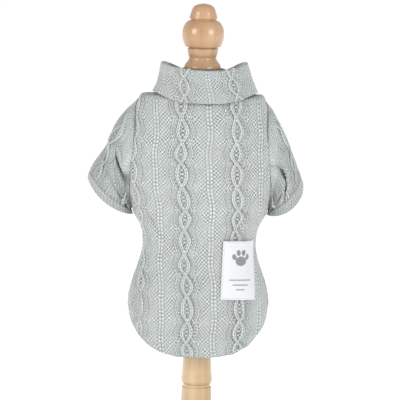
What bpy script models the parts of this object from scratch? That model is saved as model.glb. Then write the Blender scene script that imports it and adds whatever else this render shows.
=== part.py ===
"""A cable-knit dog sweater worn on a small limbless dress form.

The sweater is a back panel, a belly panel, two short puffed sleeves with ribbed cuffs, a folded
turtleneck collar and a sewn-on patch. The form is a smooth torso with a domed neck cap, a turned
finial, a turned post and a round base. Millimetres in the tables, metres in the meshes; +Z is up,
the sweater's back panel faces -Y, and the origin is the middle of the base's underside.
"""

import math

import bmesh
import bpy
import numpy as np

MM = 0.001

# ---------------------------------------------------------------- driving dimensions, in mm
CLOTH = 3.0  # thickness of the knitted wall
SEAM = 0.3  # space between neighbouring pieces

REPEAT = 59.0  # cable to cable, round the body
CABLE_AT = -22.5  # middle of the left cable, from the middle of the back, at the reference level
CABLE_LEVEL = 380.0
LEAN = 0.044  # sideways drift of the columns for each mm down
CROSSING = 26.0  # height of one cable crossing
STRAND_SWING = 6.0
STRAND_HALF_WIDTH = 6.4
STRAND_HEIGHT = 2.6
STRAND_LIFT = 0.5
GUTTER = 0.8
GUTTER_AT = 13.2
SEED_HEIGHT = 0.7
RIB_HEIGHT = 1.7
RIB_HALF_WIDTH = 4.0
# Columns of points across one repeat, from its cable's middle, and the stretch that they fill.
CHART = (-13.2, -9.6, -6.4, -3.2, 0, 3.2, 6.4, 9.6, 13.2, 19.5, 25.6, 29.5, 33.4, 39.5)
CHART_BEFORE_FIRST = 3  # columns of the repeat to the left that are kept
CHART_REACH = 56.0

HEM_MIDDLE = 101.4  # lowest point of the rounded tail
HEM_SIDE_RISE = 43.0
HEM_POWER = 2.6
BELLY_HEM = 186.0
HEM_BLEND = 110.0  # height over which the rows change from level to hem-shaped

ARMHOLE_TOP = 377.0
ARMHOLE_FOOT = 263.0
ARMHOLE_TURN = 28.0  # degrees from the side to the armhole's edge
ARMHOLE_POWER = 0.75

# Sections of the body's outer face, from the hem up. ease is the space between cloth and form.
TORSO_COLUMNS = ("z", "half_width", "back_depth", "belly_depth", "ease")
TORSO_SECTIONS = (
    (96, 68.5, 54.0, 52.0, 6.0),
    (112, 70.0, 54.5, 53.0, 6.0),
    (124, 72.0, 55.0, 54.0, 5.5),
    (136, 74.5, 55.5, 54.5, 5.0),
    (152, 76.8, 56.0, 55.5, 4.5),
    (166, 76.0, 55.5, 55.5, 4.2),
    (180, 72.5, 53.5, 54.0, 4.0),
    (194, 67.5, 50.5, 51.5, 3.8),
    (208, 63.4, 48.5, 49.5, 3.8),
    (224, 61.6, 47.5, 49.0, 3.8),
    (240, 64.6, 49.5, 51.5, 3.8),
    (254, 72.2, 52.2, 54.6, 3.6),
    (270, 79.0, 55.3, 58.2, 3.2),
    (290, 85.5, 57.5, 60.5, 2.4),
    (310, 87.5, 58.0, 61.0, 2.2),
    (330, 85.0, 57.0, 59.5, 2.0),
    (350, 80.0, 54.5, 56.5, 2.8),
    (365, 75.5, 51.0, 52.5, 3.0),
    (375.5, 71.8, 47.5, 48.5, 1.7),
    (381, 67.0, 44.0, 44.5, 0.9),
    (383.8, 58.5, 41.0, 41.0, 0.9),
    (386, 45.0, 38.5, 37.5, 0.9),
)

# Soft folds of the body: where, how wide and how deep (negative is a trough).
FOLD_COLUMNS = ("turn", "lean", "low", "high", "half_width", "height")
BODY_FOLDS = (
    (-66, 0.10, 112, 190, 6, -3.0),
    (-52, 0.06, 104, 170, 8, 2.0),
    (64, -0.08, 108, 182, 6, -2.4),
    (50, -0.05, 104, 160, 8, 1.6),
    (-40, 0.22, 205, 285, 7, -1.8),
    (44, -0.20, 205, 290, 7, -1.8),
    (-12, 0.0, 196, 250, 12, 1.0),
    (132, 0.10, 190, 290, 8, -2.6),
    (180, 0.0, 190, 260, 14, 2.0),
    (228, -0.12, 190, 300, 8, -2.6),
)

# Sleeves, section by section from the armhole: outer line, under line, half depth from back to
# belly, shift towards the belly and bow of the section's flanks along the arm.
SLEEVE_COLUMNS = ("top_out", "top_z", "under_out", "under_z", "half_depth", "shift", "bow")
LEFT_SLEEVE = (
    (77.5, 371.5, 76.0, 262.9, 28.5, 0.0, 9.5),
    (84.0, 364.0, 76.2, 262.5, 31.5, 0.0, 11.0),
    (90.0, 356.5, 76.3, 262.0, 33.0, 0.5, 11.5),
    (95.3, 347.5, 76.4, 261.4, 33.5, 1.0, 11.0),
    (98.8, 338.0, 76.4, 260.7, 33.5, 1.5, 9.6),
    (103.0, 327.5, 76.4, 259.9, 33.0, 2.0, 7.8),
    (109.5, 317.5, 76.3, 259.1, 32.0, 2.5, 5.6),
    (116.5, 307.5, 76.1, 258.2, 30.5, 3.0, 3.4),
    (121.4, 297.5, 75.9, 257.2, 29.0, 3.5, 1.6),
)
LEFT_CUFF = (
    (122.1, 296.7, 76.6, 256.4, 28.8, 3.5, 1.4),
    (122.6, 292.0, 77.0, 254.4, 28.2, 4.0, 0.7),
    (122.2, 286.5, 78.0, 251.8, 28.0, 4.5, 0.0),
)
RIGHT_SLEEVE = (
    (76.2, 371.0, 75.8, 263.0, 29.0, 0.0, 9.0),
    (79.8, 363.5, 76.0, 262.6, 32.0, 0.5, 11.0),
    (84.5, 355.5, 76.1, 262.1, 34.0, 1.0, 12.0),
    (89.0, 346.0, 76.2, 261.5, 35.0, 2.0, 12.0),
    (92.6, 337.0, 76.2, 260.8, 35.5, 3.0, 10.6),
    (97.3, 327.0, 76.1, 260.0, 35.5, 4.0, 8.8),
    (101.8, 316.5, 75.9, 259.2, 35.0, 5.0, 6.6),
    (106.0, 305.5, 75.7, 258.3, 34.0, 6.0, 4.4),
    (110.0, 294.5, 75.5, 257.3, 33.0, 7.0, 2.6),
)
RIGHT_CUFF = (
    (110.7, 293.7, 76.2, 256.5, 32.8, 7.1, 2.4),
    (111.9, 288.2, 76.7, 255.0, 32.4, 8.0, 1.2),
    (112.2, 281.5, 77.4, 252.9, 32.0, 9.0, 0.0),
)
# Folds that run along the arm: where round the sleeve (0 on top, 90 towards the back panel),
# from which share of the arm to which, how wide and how deep.
SLEEVE_FOLD_COLUMNS = ("turn", "start", "end", "half_width", "height")
SLEEVE_FOLDS = (
    (38, 0.05, 0.75, 13, 1.8),
    (66, 0.15, 1.0, 11, -2.4),
    (92, 0.0, 0.8, 13, 1.8),
    (122, 0.1, 1.0, 11, -3.0),
    (150, 0.0, 0.9, 12, 2.2),
    (205, 0.1, 0.9, 13, -2.4),
    (250, 0.0, 1.0, 14, 2.2),
    (288, 0.2, 1.0, 12, -2.4),
    (325, 0.0, 0.8, 14, 1.6),
)
SLEEVE_CREASE = 1.2  # shallow waves across the arm
SLEEVE_LAP = 2.0  # how far the sleeve's edge lies over the panel
SLEEVE_SEAT = 0.9  # its height over the smooth panel
SLEEVE_CLEAR = 2.2  # least distance between the sleeve and the body beside it
CUFF_RIBS = 16
CUFF_RIB_HEIGHT = 0.8

# Collar, from the fold's crest down the outer layer. drop is the share of the layer's height.
COLLAR_COLUMNS = ("drop", "half_width", "back_depth", "belly_depth", "centre")
COLLAR_OUTER = (
    (0.00, 43.5, 36.0, 34.5, 1.6),
    (0.03, 46.0, 38.5, 37.0, 1.8),
    (0.14, 47.6, 40.5, 39.5, 2.0),
    (0.35, 49.4, 43.2, 43.0, 2.6),
    (0.60, 51.8, 46.4, 47.5, 3.2),
    (0.82, 54.6, 49.6, 51.5, 3.4),
    (1.00, 57.4, 52.4, 54.5, 3.4),
)
COLLAR_CREST = (418.6, 421.4, 407.0)  # back, sides, belly
COLLAR_EDGE = (378.4, 387.4, 374.0)
COLLAR_STAND = (46.0, 39.5, 38.5)  # outer face of the inner layer at the neck seam
COLLAR_STAND_TOP = (42.0, 35.0, 33.0)
COLLAR_STAND_SHIFT = 1.2
COLLAR_VALLEY = 3.6  # from the crest down to the inside of the fold
COLLAR_SEAT = 0.2  # added to the seam's space under the collar
COLLAR_WAVE = 0.9
COLLAR_KNIT_SHARE = 0.8  # of the body's relief, on the stretched collar
COLLAR_KNIT_SPREAD = 1.12
COLLAR_KNIT_HEIGHT = 40.0
COLLAR_ROWS = (0.0, 0.035, 0.14, 0.3, 0.46, 0.62, 0.78, 0.9, 1.0)  # drops of the outer layer's rings
# Rings of the stand, from inside the crest down to the seam and up its outer face.
COLLAR_STAND_COLUMNS = ("share", "inwards", "lift")
COLLAR_STAND_RINGS = (
    (0.96, 2.4, 4.0),
    (0.85, 3.0, 0.0),
    (0.40, 3.0, 0.0),
    (0.00, 3.0, 0.0),
    (0.00, 0.0, 0.0),
    (0.50, 0.0, 0.0),
    (0.97, 0.0, 0.0),
)
COLLAR_BACK_COLUMNS = ("drop", "inwards")  # rings up the back of the outer layer
COLLAR_BACK_RINGS = ((0.16, 3.2), (0.55, 3.0), (0.98, 3.0))

PATCH_ACROSS = 24.2  # from the middle of the back to the patch's left edge, at its foot
PATCH_WIDE = 42.0
PATCH_FOOT, PATCH_TOP = 164.0, 227.5
PATCH_SLANT = 0.04
PATCH_THICK = 1.0
PATCH_CLEAR = 0.7
PATCH_COLUMNS, PATCH_ROWS = 10, 12

FORM_FOOT = 130.0
FORM_FOOT_DROP = 4.0  # height of the form's rounded lower edge
FORM_FOOT_SHARE = 0.93
NECK_WIDTH, NECK_DEPTH = 35.5, 30.0  # half sizes of the form's neck
NECK_FLARE = 1.5
NECK_FOOT, NECK_STRAIGHT = 385.4, 389.0
NECK_TOP = 398.0
CAP_SHARES = (0.0, 0.12, 0.34, 0.58, 0.8, 0.94, 1.0)
CAP_TOP = 413.2
CAP_FLAT = 21.5

FINIAL_FOOT = 413.5
FINIAL_CROWN = 0.35  # rise of the finial's top over its first ring
TURNED_COLUMNS = ("z", "radius")
FINIAL_PROFILE = (
    (483.8, 3.0), (482.8, 7.0), (480.8, 10.6), (476.8, 12.9), (472.3, 14.2), (468.2, 15.4),
    (466.4, 14.4), (465.2, 16.4), (463.2, 18.7), (459.0, 21.3), (454.6, 22.5), (450.0, 22.8),
    (445.7, 22.4), (441.3, 21.0), (437.2, 19.3), (435.2, 16.4), (432.4, 16.6), (428.0, 15.8),
    (424.6, 14.8), (421.3, 16.2), (418.6, 18.4), (415.6, 19.9),
)
POST_PROFILE = (
    (118.0, 15.4), (92.0, 15.5), (76.0, 16.4), (64.0, 16.4), (62.6, 14.6), (60.8, 14.6),
    (59.4, 16.4), (44.0, 17.2), (34.0, 19.6), (27.0, 23.5),
)
BASE_RADIUS = 90.0
BASE_HEIGHT = 20.0
BASE_ROUND = 5.0
BASE_SIDES = 36
TURNED_STEPS = 24

# Colour and roughness.
WOOL = (0.505, 0.565, 0.535), 0.9
BEECH = (0.74, 0.50, 0.31), 0.3
JERSEY = (0.09, 0.10, 0.12), 0.8
CAP_CLOTH = (0.09, 0.10, 0.12), 0.85
PATCH_CLOTH = (0.90, 0.91, 0.92), 0.6

# ---------------------------------------------------------------- mesh resolution
BODY_ROWS = 50
SHOULDER_ROWS = 8
PLAIN_COLUMNS = 7  # columns between the outermost charted one and the panel's edge
BELLY_COLUMNS = 28
BELLY_ROWS = 34
SLEEVE_AROUND = 40
COLLAR_AROUND = 64
CUFF_AROUND = 64
FORM_AROUND = 28
FORM_ROWS = 12


def column_of(table, names, name):
    """One named column of a table, as an array."""
    return np.array([row[names.index(name)] for row in table], float)


def smooth(knots, values, at):
    """A smooth curve through the values, read at any place between the knots."""
    at = np.clip(np.asarray(at, float), knots[0], knots[-1])
    slope = np.gradient(values, knots)
    i = np.clip(np.searchsorted(knots, at, side="right") - 1, 0, len(knots) - 2)
    step = knots[i + 1] - knots[i]
    u = (at - knots[i]) / step
    return (
        (1 + 2 * u) * (1 - u) ** 2 * values[i]
        + u * (1 - u) ** 2 * step * slope[i]
        + u * u * (3 - 2 * u) * values[i + 1]
        + u * u * (u - 1) * step * slope[i + 1]
    )


def ramp(value, start, end):
    """0 before start, 1 after end, soft between."""
    u = np.clip((value - start) / (end - start), 0, 1)
    return u * u * (3 - 2 * u)


# ---------------------------------------------------------------- the body's surface
SECTION_Z = column_of(TORSO_SECTIONS, TORSO_COLUMNS, "z")
SECTION_WIDTH = column_of(TORSO_SECTIONS, TORSO_COLUMNS, "half_width")
SECTION_BACK = column_of(TORSO_SECTIONS, TORSO_COLUMNS, "back_depth")
SECTION_BELLY = column_of(TORSO_SECTIONS, TORSO_COLUMNS, "belly_depth")
SECTION_EASE = column_of(TORSO_SECTIONS, TORSO_COLUMNS, "ease")
# A level is the length of the side outline from the lowest section.
SECTION_LEVEL = np.concatenate(
    [[0.0], np.cumsum(np.hypot(np.diff(SECTION_Z), np.diff(SECTION_WIDTH)))]
)
TOP_LEVEL = SECTION_LEVEL[-1]
# Share of a quarter's girth at each turn, for the body's usual flatness.
FLATNESS = 0.7
GIRTH_TURNS = np.linspace(0, math.pi / 2, 91)
GIRTH_STEPS = np.hypot(np.cos(GIRTH_TURNS), FLATNESS * np.sin(GIRTH_TURNS))
GIRTH_SHARES = np.concatenate([[0.0], np.cumsum((GIRTH_STEPS[1:] + GIRTH_STEPS[:-1]) / 2)])
GIRTH_SHARES = GIRTH_SHARES / GIRTH_SHARES[-1]


def level_at(z):
    """Level of a height."""
    return np.interp(z, SECTION_Z, SECTION_LEVEL)


def quarter_girth(level):
    """Length from the middle of the back to the side, by Ramanujan's formula."""
    a = smooth(SECTION_LEVEL, SECTION_WIDTH, level)
    b = smooth(SECTION_LEVEL, SECTION_BACK, level)
    return math.pi / 4 * (3 * (a + b) - np.sqrt((3 * a + b) * (a + 3 * b)))


def turn_at(across, level):
    """Angle round the body, in radians, of a place so many mm from the middle of the back."""
    share = np.abs(across) / quarter_girth(level)
    return np.sign(across) * np.interp(share, GIRTH_SHARES, GIRTH_TURNS)


def across_at(turn, level):
    """The reverse of turn_at, for turns of up to a quarter."""
    share = np.interp(np.abs(turn), GIRTH_TURNS, GIRTH_SHARES)
    return np.sign(turn) * share * quarter_girth(level)


def smooth_body(turn, level):
    """Points of the cloth's outer face with no relief; turn 0 is the middle of the back."""
    turn, level = np.broadcast_arrays(turn, level)
    width = smooth(SECTION_LEVEL, SECTION_WIDTH, level)
    back = smooth(SECTION_LEVEL, SECTION_BACK, level)
    belly = smooth(SECTION_LEVEL, SECTION_BELLY, level)
    depth = np.where(np.cos(turn) > 0, back, belly)
    z = smooth(SECTION_LEVEL, SECTION_Z, level)
    return np.stack([width * np.sin(turn), -depth * np.cos(turn), z], axis=-1)


def body_normal(turn, level):
    """Outward unit normals of the smooth body."""
    small_turn, small_level = 0.01, 0.5
    round_it = smooth_body(turn + small_turn, level) - smooth_body(turn - small_turn, level)
    low = np.clip(level - small_level, 0, TOP_LEVEL)
    high = np.clip(level + small_level, 0, TOP_LEVEL)
    up_it = smooth_body(turn, high) - smooth_body(turn, low)
    normal = np.cross(round_it, up_it)
    return normal / np.linalg.norm(normal, axis=-1, keepdims=True)


def body(turn, level, out):
    """Points of the body moved outwards by so many mm."""
    out = np.broadcast_to(out, np.broadcast(turn, level).shape)
    return smooth_body(turn, level) + body_normal(turn, level) * out[..., None]


def body_folds(turn, z):
    """Height of the soft folds."""
    height = np.zeros(np.broadcast(turn, z).shape)
    degrees = np.degrees(turn)
    for row in BODY_FOLDS:
        fold = dict(zip(FOLD_COLUMNS, row))
        above = z - fold["low"]
        away = (degrees - fold["turn"] - fold["lean"] * above + 180) % 360 - 180
        along = np.clip(above / (fold["high"] - fold["low"]), 0, 1)
        across = np.exp(-((away / fold["half_width"]) ** 2))
        height += fold["height"] * across * np.sin(math.pi * along) ** 2
    return height


# ---------------------------------------------------------------- the knitted columns
def strand(away):
    """Round height of one cable strand, as a share of its full height."""
    return np.sqrt(np.clip(1 - (away / STRAND_HALF_WIDTH) ** 2, 0, 1))


def knit(across, z):
    """Height of the cables, seed stitch and ribs over the wall's plain face."""
    from_cable = across - CABLE_AT - LEAN * (CABLE_LEVEL - z)
    column = np.round(from_cable / REPEAT)
    away = from_cable - column * REPEAT
    crossing = math.pi * (z + 7 * column) / CROSSING
    side = STRAND_SWING * np.cos(crossing)
    over = STRAND_LIFT * np.sin(crossing)
    first = (STRAND_HEIGHT + over) * strand(away - side)
    second = (STRAND_HEIGHT - over) * strand(away + side)
    gutter = -GUTTER * np.exp(-(((np.abs(away) - GUTTER_AT) / 1.6) ** 2))
    seed = SEED_HEIGHT * ramp(np.abs(away), GUTTER_AT, GUTTER_AT + 3)
    from_rib = REPEAT / 2 - np.abs(away)
    rib = RIB_HEIGHT * np.clip(1 - (from_rib / RIB_HALF_WIDTH) ** 2, 0, 1)
    return np.maximum(first, second) + gutter + np.maximum(seed, rib)


# ---------------------------------------------------------------- meshes
def part_collection():
    """The collection that holds every sub-part."""
    collection = bpy.data.collections.new("dog_sweater_on_form")
    bpy.context.scene.collection.children.link(collection)
    return collection


def material(name, colour, roughness, metallic=0.0):
    """A plain Principled material."""
    made = bpy.data.materials.new(name)
    made.use_nodes = True
    shader = made.node_tree.nodes["Principled BSDF"]
    shader.inputs["Base Color"].default_value = (*colour, 1)
    shader.inputs["Roughness"].default_value = roughness
    shader.inputs["Metallic"].default_value = metallic
    made.diffuse_color = (*colour, 1)
    return made


def grid_faces(numbers, closed):
    """Quads over a grid of point numbers, with the last column joined to the first if closed."""
    right = np.roll(numbers, -1, axis=1) if closed else numbers[:, 1:]
    left = numbers if closed else numbers[:, :-1]
    quads = np.stack([left[:-1], right[:-1], right[1:], left[1:]], axis=-1)
    return quads.reshape(-1, 4).tolist()


def strip_faces(fine, coarse, closed):
    """Triangles between a fine border and a coarse one that turns back less often."""
    share = (len(fine) - (not closed)) // (len(coarse) - (not closed))
    faces = []
    for i in range(len(coarse) - (not closed)):
        a, b = coarse[i], coarse[(i + 1) % len(coarse)]
        run = [fine[(i * share + k) % len(fine)] for k in range(share + 1)]
        half = share // 2
        faces += [[a, run[k + 1], run[k]] for k in range(half)]
        faces.append([a, b, run[half]])
        faces += [[b, run[k + 1], run[k]] for k in range(half, share)]
    return faces


def finish_mesh(name, points, faces, look, collection):
    """One closed body facing out, shaded smooth, from points in mm."""
    mesh = bpy.data.meshes.new(name)
    mesh.from_pydata((np.asarray(points) * MM).tolist(), [], faces)
    work = bmesh.new()
    work.from_mesh(mesh)
    bmesh.ops.recalc_face_normals(work, faces=work.faces)
    if work.calc_volume(signed=True) < 0:
        bmesh.ops.reverse_faces(work, faces=work.faces)
    work.to_mesh(mesh)
    work.free()
    mesh.shade_smooth()
    mesh.set_sharp_from_angle(angle=math.radians(50))
    made = bpy.data.objects.new(name, mesh)
    made.data.materials.append(look)
    collection.objects.link(made)
    return made


def cloth_wall(name, outer, inner, closed, look, collection):
    """A wall between a fine outer grid and a coarser inner one, joined along every border."""
    outer_numbers = np.arange(outer.shape[0] * outer.shape[1]).reshape(outer.shape[:2])
    inner_numbers = outer_numbers.size + np.arange(inner.shape[0] * inner.shape[1])
    inner_numbers = inner_numbers.reshape(inner.shape[:2])
    faces = grid_faces(outer_numbers, closed)
    faces += [face[::-1] for face in grid_faces(inner_numbers, closed)]
    faces += strip_faces(outer_numbers[0], inner_numbers[0], closed)
    faces += strip_faces(outer_numbers[-1], inner_numbers[-1], closed)
    if not closed:
        faces += strip_faces(outer_numbers[:, 0], inner_numbers[:, 0], False)
        faces += strip_faces(outer_numbers[:, -1], inner_numbers[:, -1], False)
    points = np.concatenate([outer.reshape(-1, 3), inner.reshape(-1, 3)])
    return finish_mesh(name, points, faces, look, collection)


def turned(name, profile, crown, foot_z, look, collection):
    """A lathe-turned piece: its profile spun round the stand's axis."""
    heights = column_of(profile, TURNED_COLUMNS, "z")
    radii = column_of(profile, TURNED_COLUMNS, "radius")
    outline = [(0.0, heights[0] + crown)]
    outline += list(zip(radii, heights))
    outline += [(radii[-1], foot_z), (0.0, foot_z)]
    mesh = bpy.data.meshes.new(name)
    points = [(r * MM, 0, z * MM) for r, z in outline]
    mesh.from_pydata(points, [(i, i + 1) for i in range(len(points) - 1)], [])
    made = bpy.data.objects.new(name, mesh)
    made.data.materials.append(look)
    collection.objects.link(made)
    screw = made.modifiers.new("turn", "SCREW")
    screw.steps = TURNED_STEPS
    screw.render_steps = TURNED_STEPS
    screw.use_merge_vertices = True
    screw.merge_threshold = 0.00005
    screw.use_smooth_shade = True
    return made


# ---------------------------------------------------------------- the sweater
def hem_z(turn):
    """Height of the hem round the body: a rounded tail that rises to the belly's edge."""
    away = np.abs((turn + math.pi) % (2 * math.pi) - math.pi)
    rise = HEM_SIDE_RISE * (away / (math.pi / 2)) ** HEM_POWER
    top = BELLY_HEM - HEM_MIDDLE
    return HEM_MIDDLE + top * np.tanh(rise / top)


def armhole_middle():
    """Level of the armhole's middle, and half its height."""
    foot, top = level_at(ARMHOLE_FOOT), level_at(ARMHOLE_TOP)
    return (foot + top) / 2, (top - foot) / 2


def armhole_turn(level):
    """Degrees from the side to the armhole's edge, nothing above and below it."""
    middle, half = armhole_middle()
    inside = np.clip(1 - ((level - middle) / half) ** 2, 0, 1)
    return ARMHOLE_TURN * inside**ARMHOLE_POWER


def row_levels(rows, hem):
    """Levels of the panel's rows, with a row at the armhole's foot and top and at the neck."""
    foot, top = level_at(ARMHOLE_FOOT), level_at(ARMHOLE_TOP)
    first = level_at(hem)
    total = TOP_LEVEL - first
    low = 2 * round(rows * (foot - first) / total / 2)
    middle = rows - low - SHOULDER_ROWS
    turns = np.linspace(0, math.pi, middle + 1)
    even = np.linspace(0, 1, middle + 1)
    eased = 0.6 * even + 0.4 * (1 - np.cos(turns)) / 2
    return np.concatenate(
        [
            np.linspace(first, foot, low, endpoint=False),
            foot + (top - foot) * eased[:-1],
            np.linspace(top, TOP_LEVEL, SHOULDER_ROWS + 1),
        ]
    )


def hem_shaped(levels, turn, hem):
    """Rows that are level above the waist and follow the hem at the bottom."""
    first = level_at(hem)
    share = np.clip((levels - first) / HEM_BLEND, 0, 1)
    blend = (1 - share) ** 2
    return levels + (level_at(hem_z(turn)) - first) * blend


def relief_fade(turn, level, from_edge):
    """The relief dies out at the side seams, at the armholes and under the collar."""
    z = smooth(SECTION_LEVEL, SECTION_Z, level)
    middle, half = armhole_middle()
    from_side = np.degrees(math.pi / 2 - np.abs((turn + math.pi) % (2 * math.pi) - math.pi))
    from_armhole = (np.hypot(from_side / ARMHOLE_TURN, (level - middle) / half) - 1) * half
    return ramp(from_edge, 3.0, 11.0) * ramp(from_armhole, 3.0, 9.0) * (1 - ramp(z, 371.0, 380.0))


def make_back_panel(look, collection):
    """The large panel, with columns of points that follow the cables, ribs and seed stitch."""
    levels = row_levels(BODY_ROWS, HEM_MIDDLE)
    half = math.pi / 2 - np.radians(armhole_turn(levels))
    edge = across_at(half, levels) - SEAM / 2
    z = smooth(SECTION_LEVEL, SECTION_Z, levels)
    drift = LEAN * (CABLE_LEVEL - z)
    chart = np.array(CHART)
    charted = np.concatenate([chart[-CHART_BEFORE_FIRST:] - REPEAT, chart, chart + REPEAT])
    charted = charted + CABLE_AT
    charted = charted[np.abs(charted) < CHART_REACH]
    if len(charted) % 2 == 0:
        charted = charted[:-1]
    core = charted[None, :] + drift[:, None]
    share = np.arange(PLAIN_COLUMNS) / PLAIN_COLUMNS
    left = -edge[:, None] + (core[:, :1] + edge[:, None]) * share
    right = edge[:, None] + (core[:, -1:] - edge[:, None]) * share[::-1]
    across = np.concatenate([left, core, right], axis=1)
    turn = turn_at(across, levels[:, None])
    level = hem_shaped(levels[:, None], turn, HEM_MIDDLE)
    height = smooth(SECTION_LEVEL, SECTION_Z, level)
    fade = relief_fade(turn, level, edge[:, None] - np.abs(across))
    folds = body_folds(turn, height) * ramp(edge[:, None] - np.abs(across), 0.0, 12.0)
    outer = body(turn, level, knit(across, height) * fade + folds)
    inner = body(turn[::2, ::2], level[::2, ::2], folds[::2, ::2] - CLOTH)
    return cloth_wall("back_panel", outer, inner, False, look, collection)


def make_belly_panel(look, collection):
    """The shorter panel on the far side."""
    levels = row_levels(BELLY_ROWS, hem_z(math.pi / 2))
    hem = hem_z(math.pi / 2)
    half = math.pi / 2 - np.radians(armhole_turn(levels))
    half = half - SEAM / 2 / smooth(SECTION_LEVEL, SECTION_BELLY, levels)
    share = np.linspace(-1, 1, BELLY_COLUMNS + 1)
    turn = math.pi + half[:, None] * share
    level = hem_shaped(levels[:, None], turn, hem)
    height = smooth(SECTION_LEVEL, SECTION_Z, level)
    from_edge = (1 - np.abs(share)) * across_at(half, levels)[:, None]
    folds = body_folds(turn, height) * ramp(from_edge, 0.0, 12.0)
    across = share * across_at(half, levels)[:, None]
    raised = knit(across, height) * relief_fade(turn, level, from_edge)
    outer = body(turn, level, raised + folds)
    inner = body(turn[::2, ::2], level[::2, ::2], folds[::2, ::2] - CLOTH)
    return cloth_wall("belly_panel", outer, inner, False, look, collection)


def armhole_ring(around, grow, out, side):
    """The loop round the armhole, grown by so many mm, on the body moved out."""
    middle, half = armhole_middle()
    level = middle + (half + grow) * np.cos(around)
    grow_turn = np.degrees(grow / 62.0)
    wide = np.radians(ARMHOLE_TURN + grow_turn) * np.abs(np.sin(around)) ** (2 * ARMHOLE_POWER)
    turn = math.pi / 2 - np.sign(np.sin(around)) * wide
    points = body(turn, level, out)
    return points * np.array([side, 1, 1])


def arm_section(table, share, around, inwards, side, fold):
    """Ring of a sleeve or cuff at a share of its length, inwards by so many mm."""
    knots = np.linspace(0, 1, len(table))
    value = {
        name: smooth(knots, column_of(table, SLEEVE_COLUMNS, name), share)
        for name in SLEEVE_COLUMNS
    }
    top = np.array([value["top_out"], 0, value["top_z"]])
    under = np.array([value["under_out"], 0, value["under_z"]])
    reach = (top - under) / 2
    length = np.linalg.norm(reach)
    reach_way = reach / length
    out_way = np.array([reach_way[2], 0, -reach_way[0]])
    middle = (top + under) / 2 + np.array([0, value["shift"], 0])
    size = length - inwards
    depth = value["half_depth"] - inwards
    ring = (
        middle
        + (size + fold)[:, None] * np.cos(around)[:, None] * reach_way
        - (depth + fold)[:, None] * np.sin(around)[:, None] * np.array([0, 1, 0])
        + value["bow"] * (np.sin(around) ** 2)[:, None] * out_way
    )
    return ring * np.array([side, 1, 1])


def grid_normals(rings):
    """Outward unit normals of a tube given as rings of points."""
    along = np.gradient(rings, axis=0)
    round_it = np.roll(rings, -1, axis=1) - np.roll(rings, 1, axis=1)
    normal = np.cross(along, round_it)
    normal /= np.linalg.norm(normal, axis=-1, keepdims=True)
    outward = rings - rings.mean(axis=1, keepdims=True)
    sign = np.sign((normal * outward).sum(axis=(1, 2)))
    return normal * sign[:, None, None]


def clear_of_body(points, side):
    """Points moved sideways where needed, so that they stay off the body's smooth face."""
    level = level_at(points[..., 2])
    width = smooth(SECTION_LEVEL, SECTION_WIDTH, level)
    back = smooth(SECTION_LEVEL, SECTION_BACK, level)
    belly = smooth(SECTION_LEVEL, SECTION_BELLY, level)
    depth = np.where(points[..., 1] < 0, back, belly)
    surface = width * np.sqrt(np.clip(1 - (points[..., 1] / depth) ** 2, 0, 1))
    moved = points.copy()
    moved[..., 0] = side * np.maximum(side * points[..., 0], surface + SLEEVE_CLEAR)
    return moved


def sleeve_folds(around, share):
    """Height of the folds along the arm and of the shallow waves across it."""
    degrees = np.degrees(around)
    height = np.zeros_like(degrees)
    for row in SLEEVE_FOLDS:
        fold = dict(zip(SLEEVE_FOLD_COLUMNS, row))
        away = (degrees - fold["turn"] + 180) % 360 - 180
        along = np.clip((share - fold["start"]) / (fold["end"] - fold["start"]), 0, 1)
        across = np.exp(-((away / fold["half_width"]) ** 2))
        height += fold["height"] * across * np.sin(math.pi * along)
    waves = np.sin(share * 2 * math.pi * 2.5 + 2 * np.sin(around))
    return height + SLEEVE_CREASE * waves * np.sin(math.pi * share) * np.sin(around) ** 2


def sleeve_rings(table, around, inwards, side):
    """The sleeve's rings from the armhole to the cuff, inwards by so many mm."""
    rings = []
    for share in np.linspace(0, 1, len(table)):
        folds = sleeve_folds(around, share)
        rings.append(arm_section(table, share, around, inwards, side, folds))
    return clear_of_body(np.array(rings), side)


def make_sleeve(name, table, side, look, collection):
    """A sleeve whose root laps over the armhole's edge."""
    around = np.linspace(0, 2 * math.pi, SLEEVE_AROUND, endpoint=False)
    outer = sleeve_rings(table, around, 0.0, side)
    # The wall's thickness is square to the cloth on top and in the ring's plane underneath.
    in_plane = sleeve_rings(table, around, CLOTH, side)
    square = clear_of_body(outer - grid_normals(outer) * CLOTH, side)
    on_top = (1 + np.cos(around)) / 2 * np.ones((len(table), 1))
    on_top[-1] = 0
    inner = in_plane + (square - in_plane) * on_top[..., None]
    outer_root = armhole_ring(around, SLEEVE_LAP, SLEEVE_SEAT, side)
    inner_root = armhole_ring(around[::2], SLEEVE_LAP - CLOTH, SLEEVE_SEAT, side)
    outer = np.concatenate([[outer_root], outer])
    inner = np.concatenate([[inner_root], inner[::2, ::2]])
    return cloth_wall(name, outer, inner, True, look, collection)


def make_cuff(name, table, side, look, collection):
    """A ribbed band on a sleeve's end."""
    around = np.linspace(0, 2 * math.pi, CUFF_AROUND, endpoint=False)
    ribs = CUFF_RIB_HEIGHT * np.cos(CUFF_RIBS * around)
    shares = np.linspace(0, 1, 4)
    outer = [arm_section(table, share, around, CUFF_RIB_HEIGHT, side, ribs) for share in shares]
    plain = 0 * ribs[::2]
    inner = [arm_section(table, share, around[::2], CLOTH, side, plain) for share in shares[::3]]
    return cloth_wall(name, np.array(outer), np.array(inner), True, look, collection)


def round_height(turn, back, sides, belly):
    """A height that runs smoothly from the back over the sides to the belly."""
    facing = np.cos(turn)
    return sides + np.where(facing > 0, back - sides, belly - sides) * np.abs(facing) ** 2.5


def collar_point(turn, half_width, back_depth, belly_depth, centre, z):
    """Points of an oval ring round the neck."""
    depth = np.where(np.cos(turn) > 0, back_depth, belly_depth)
    return np.stack([centre + half_width * np.sin(turn), -depth * np.cos(turn), z], axis=-1)


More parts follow.
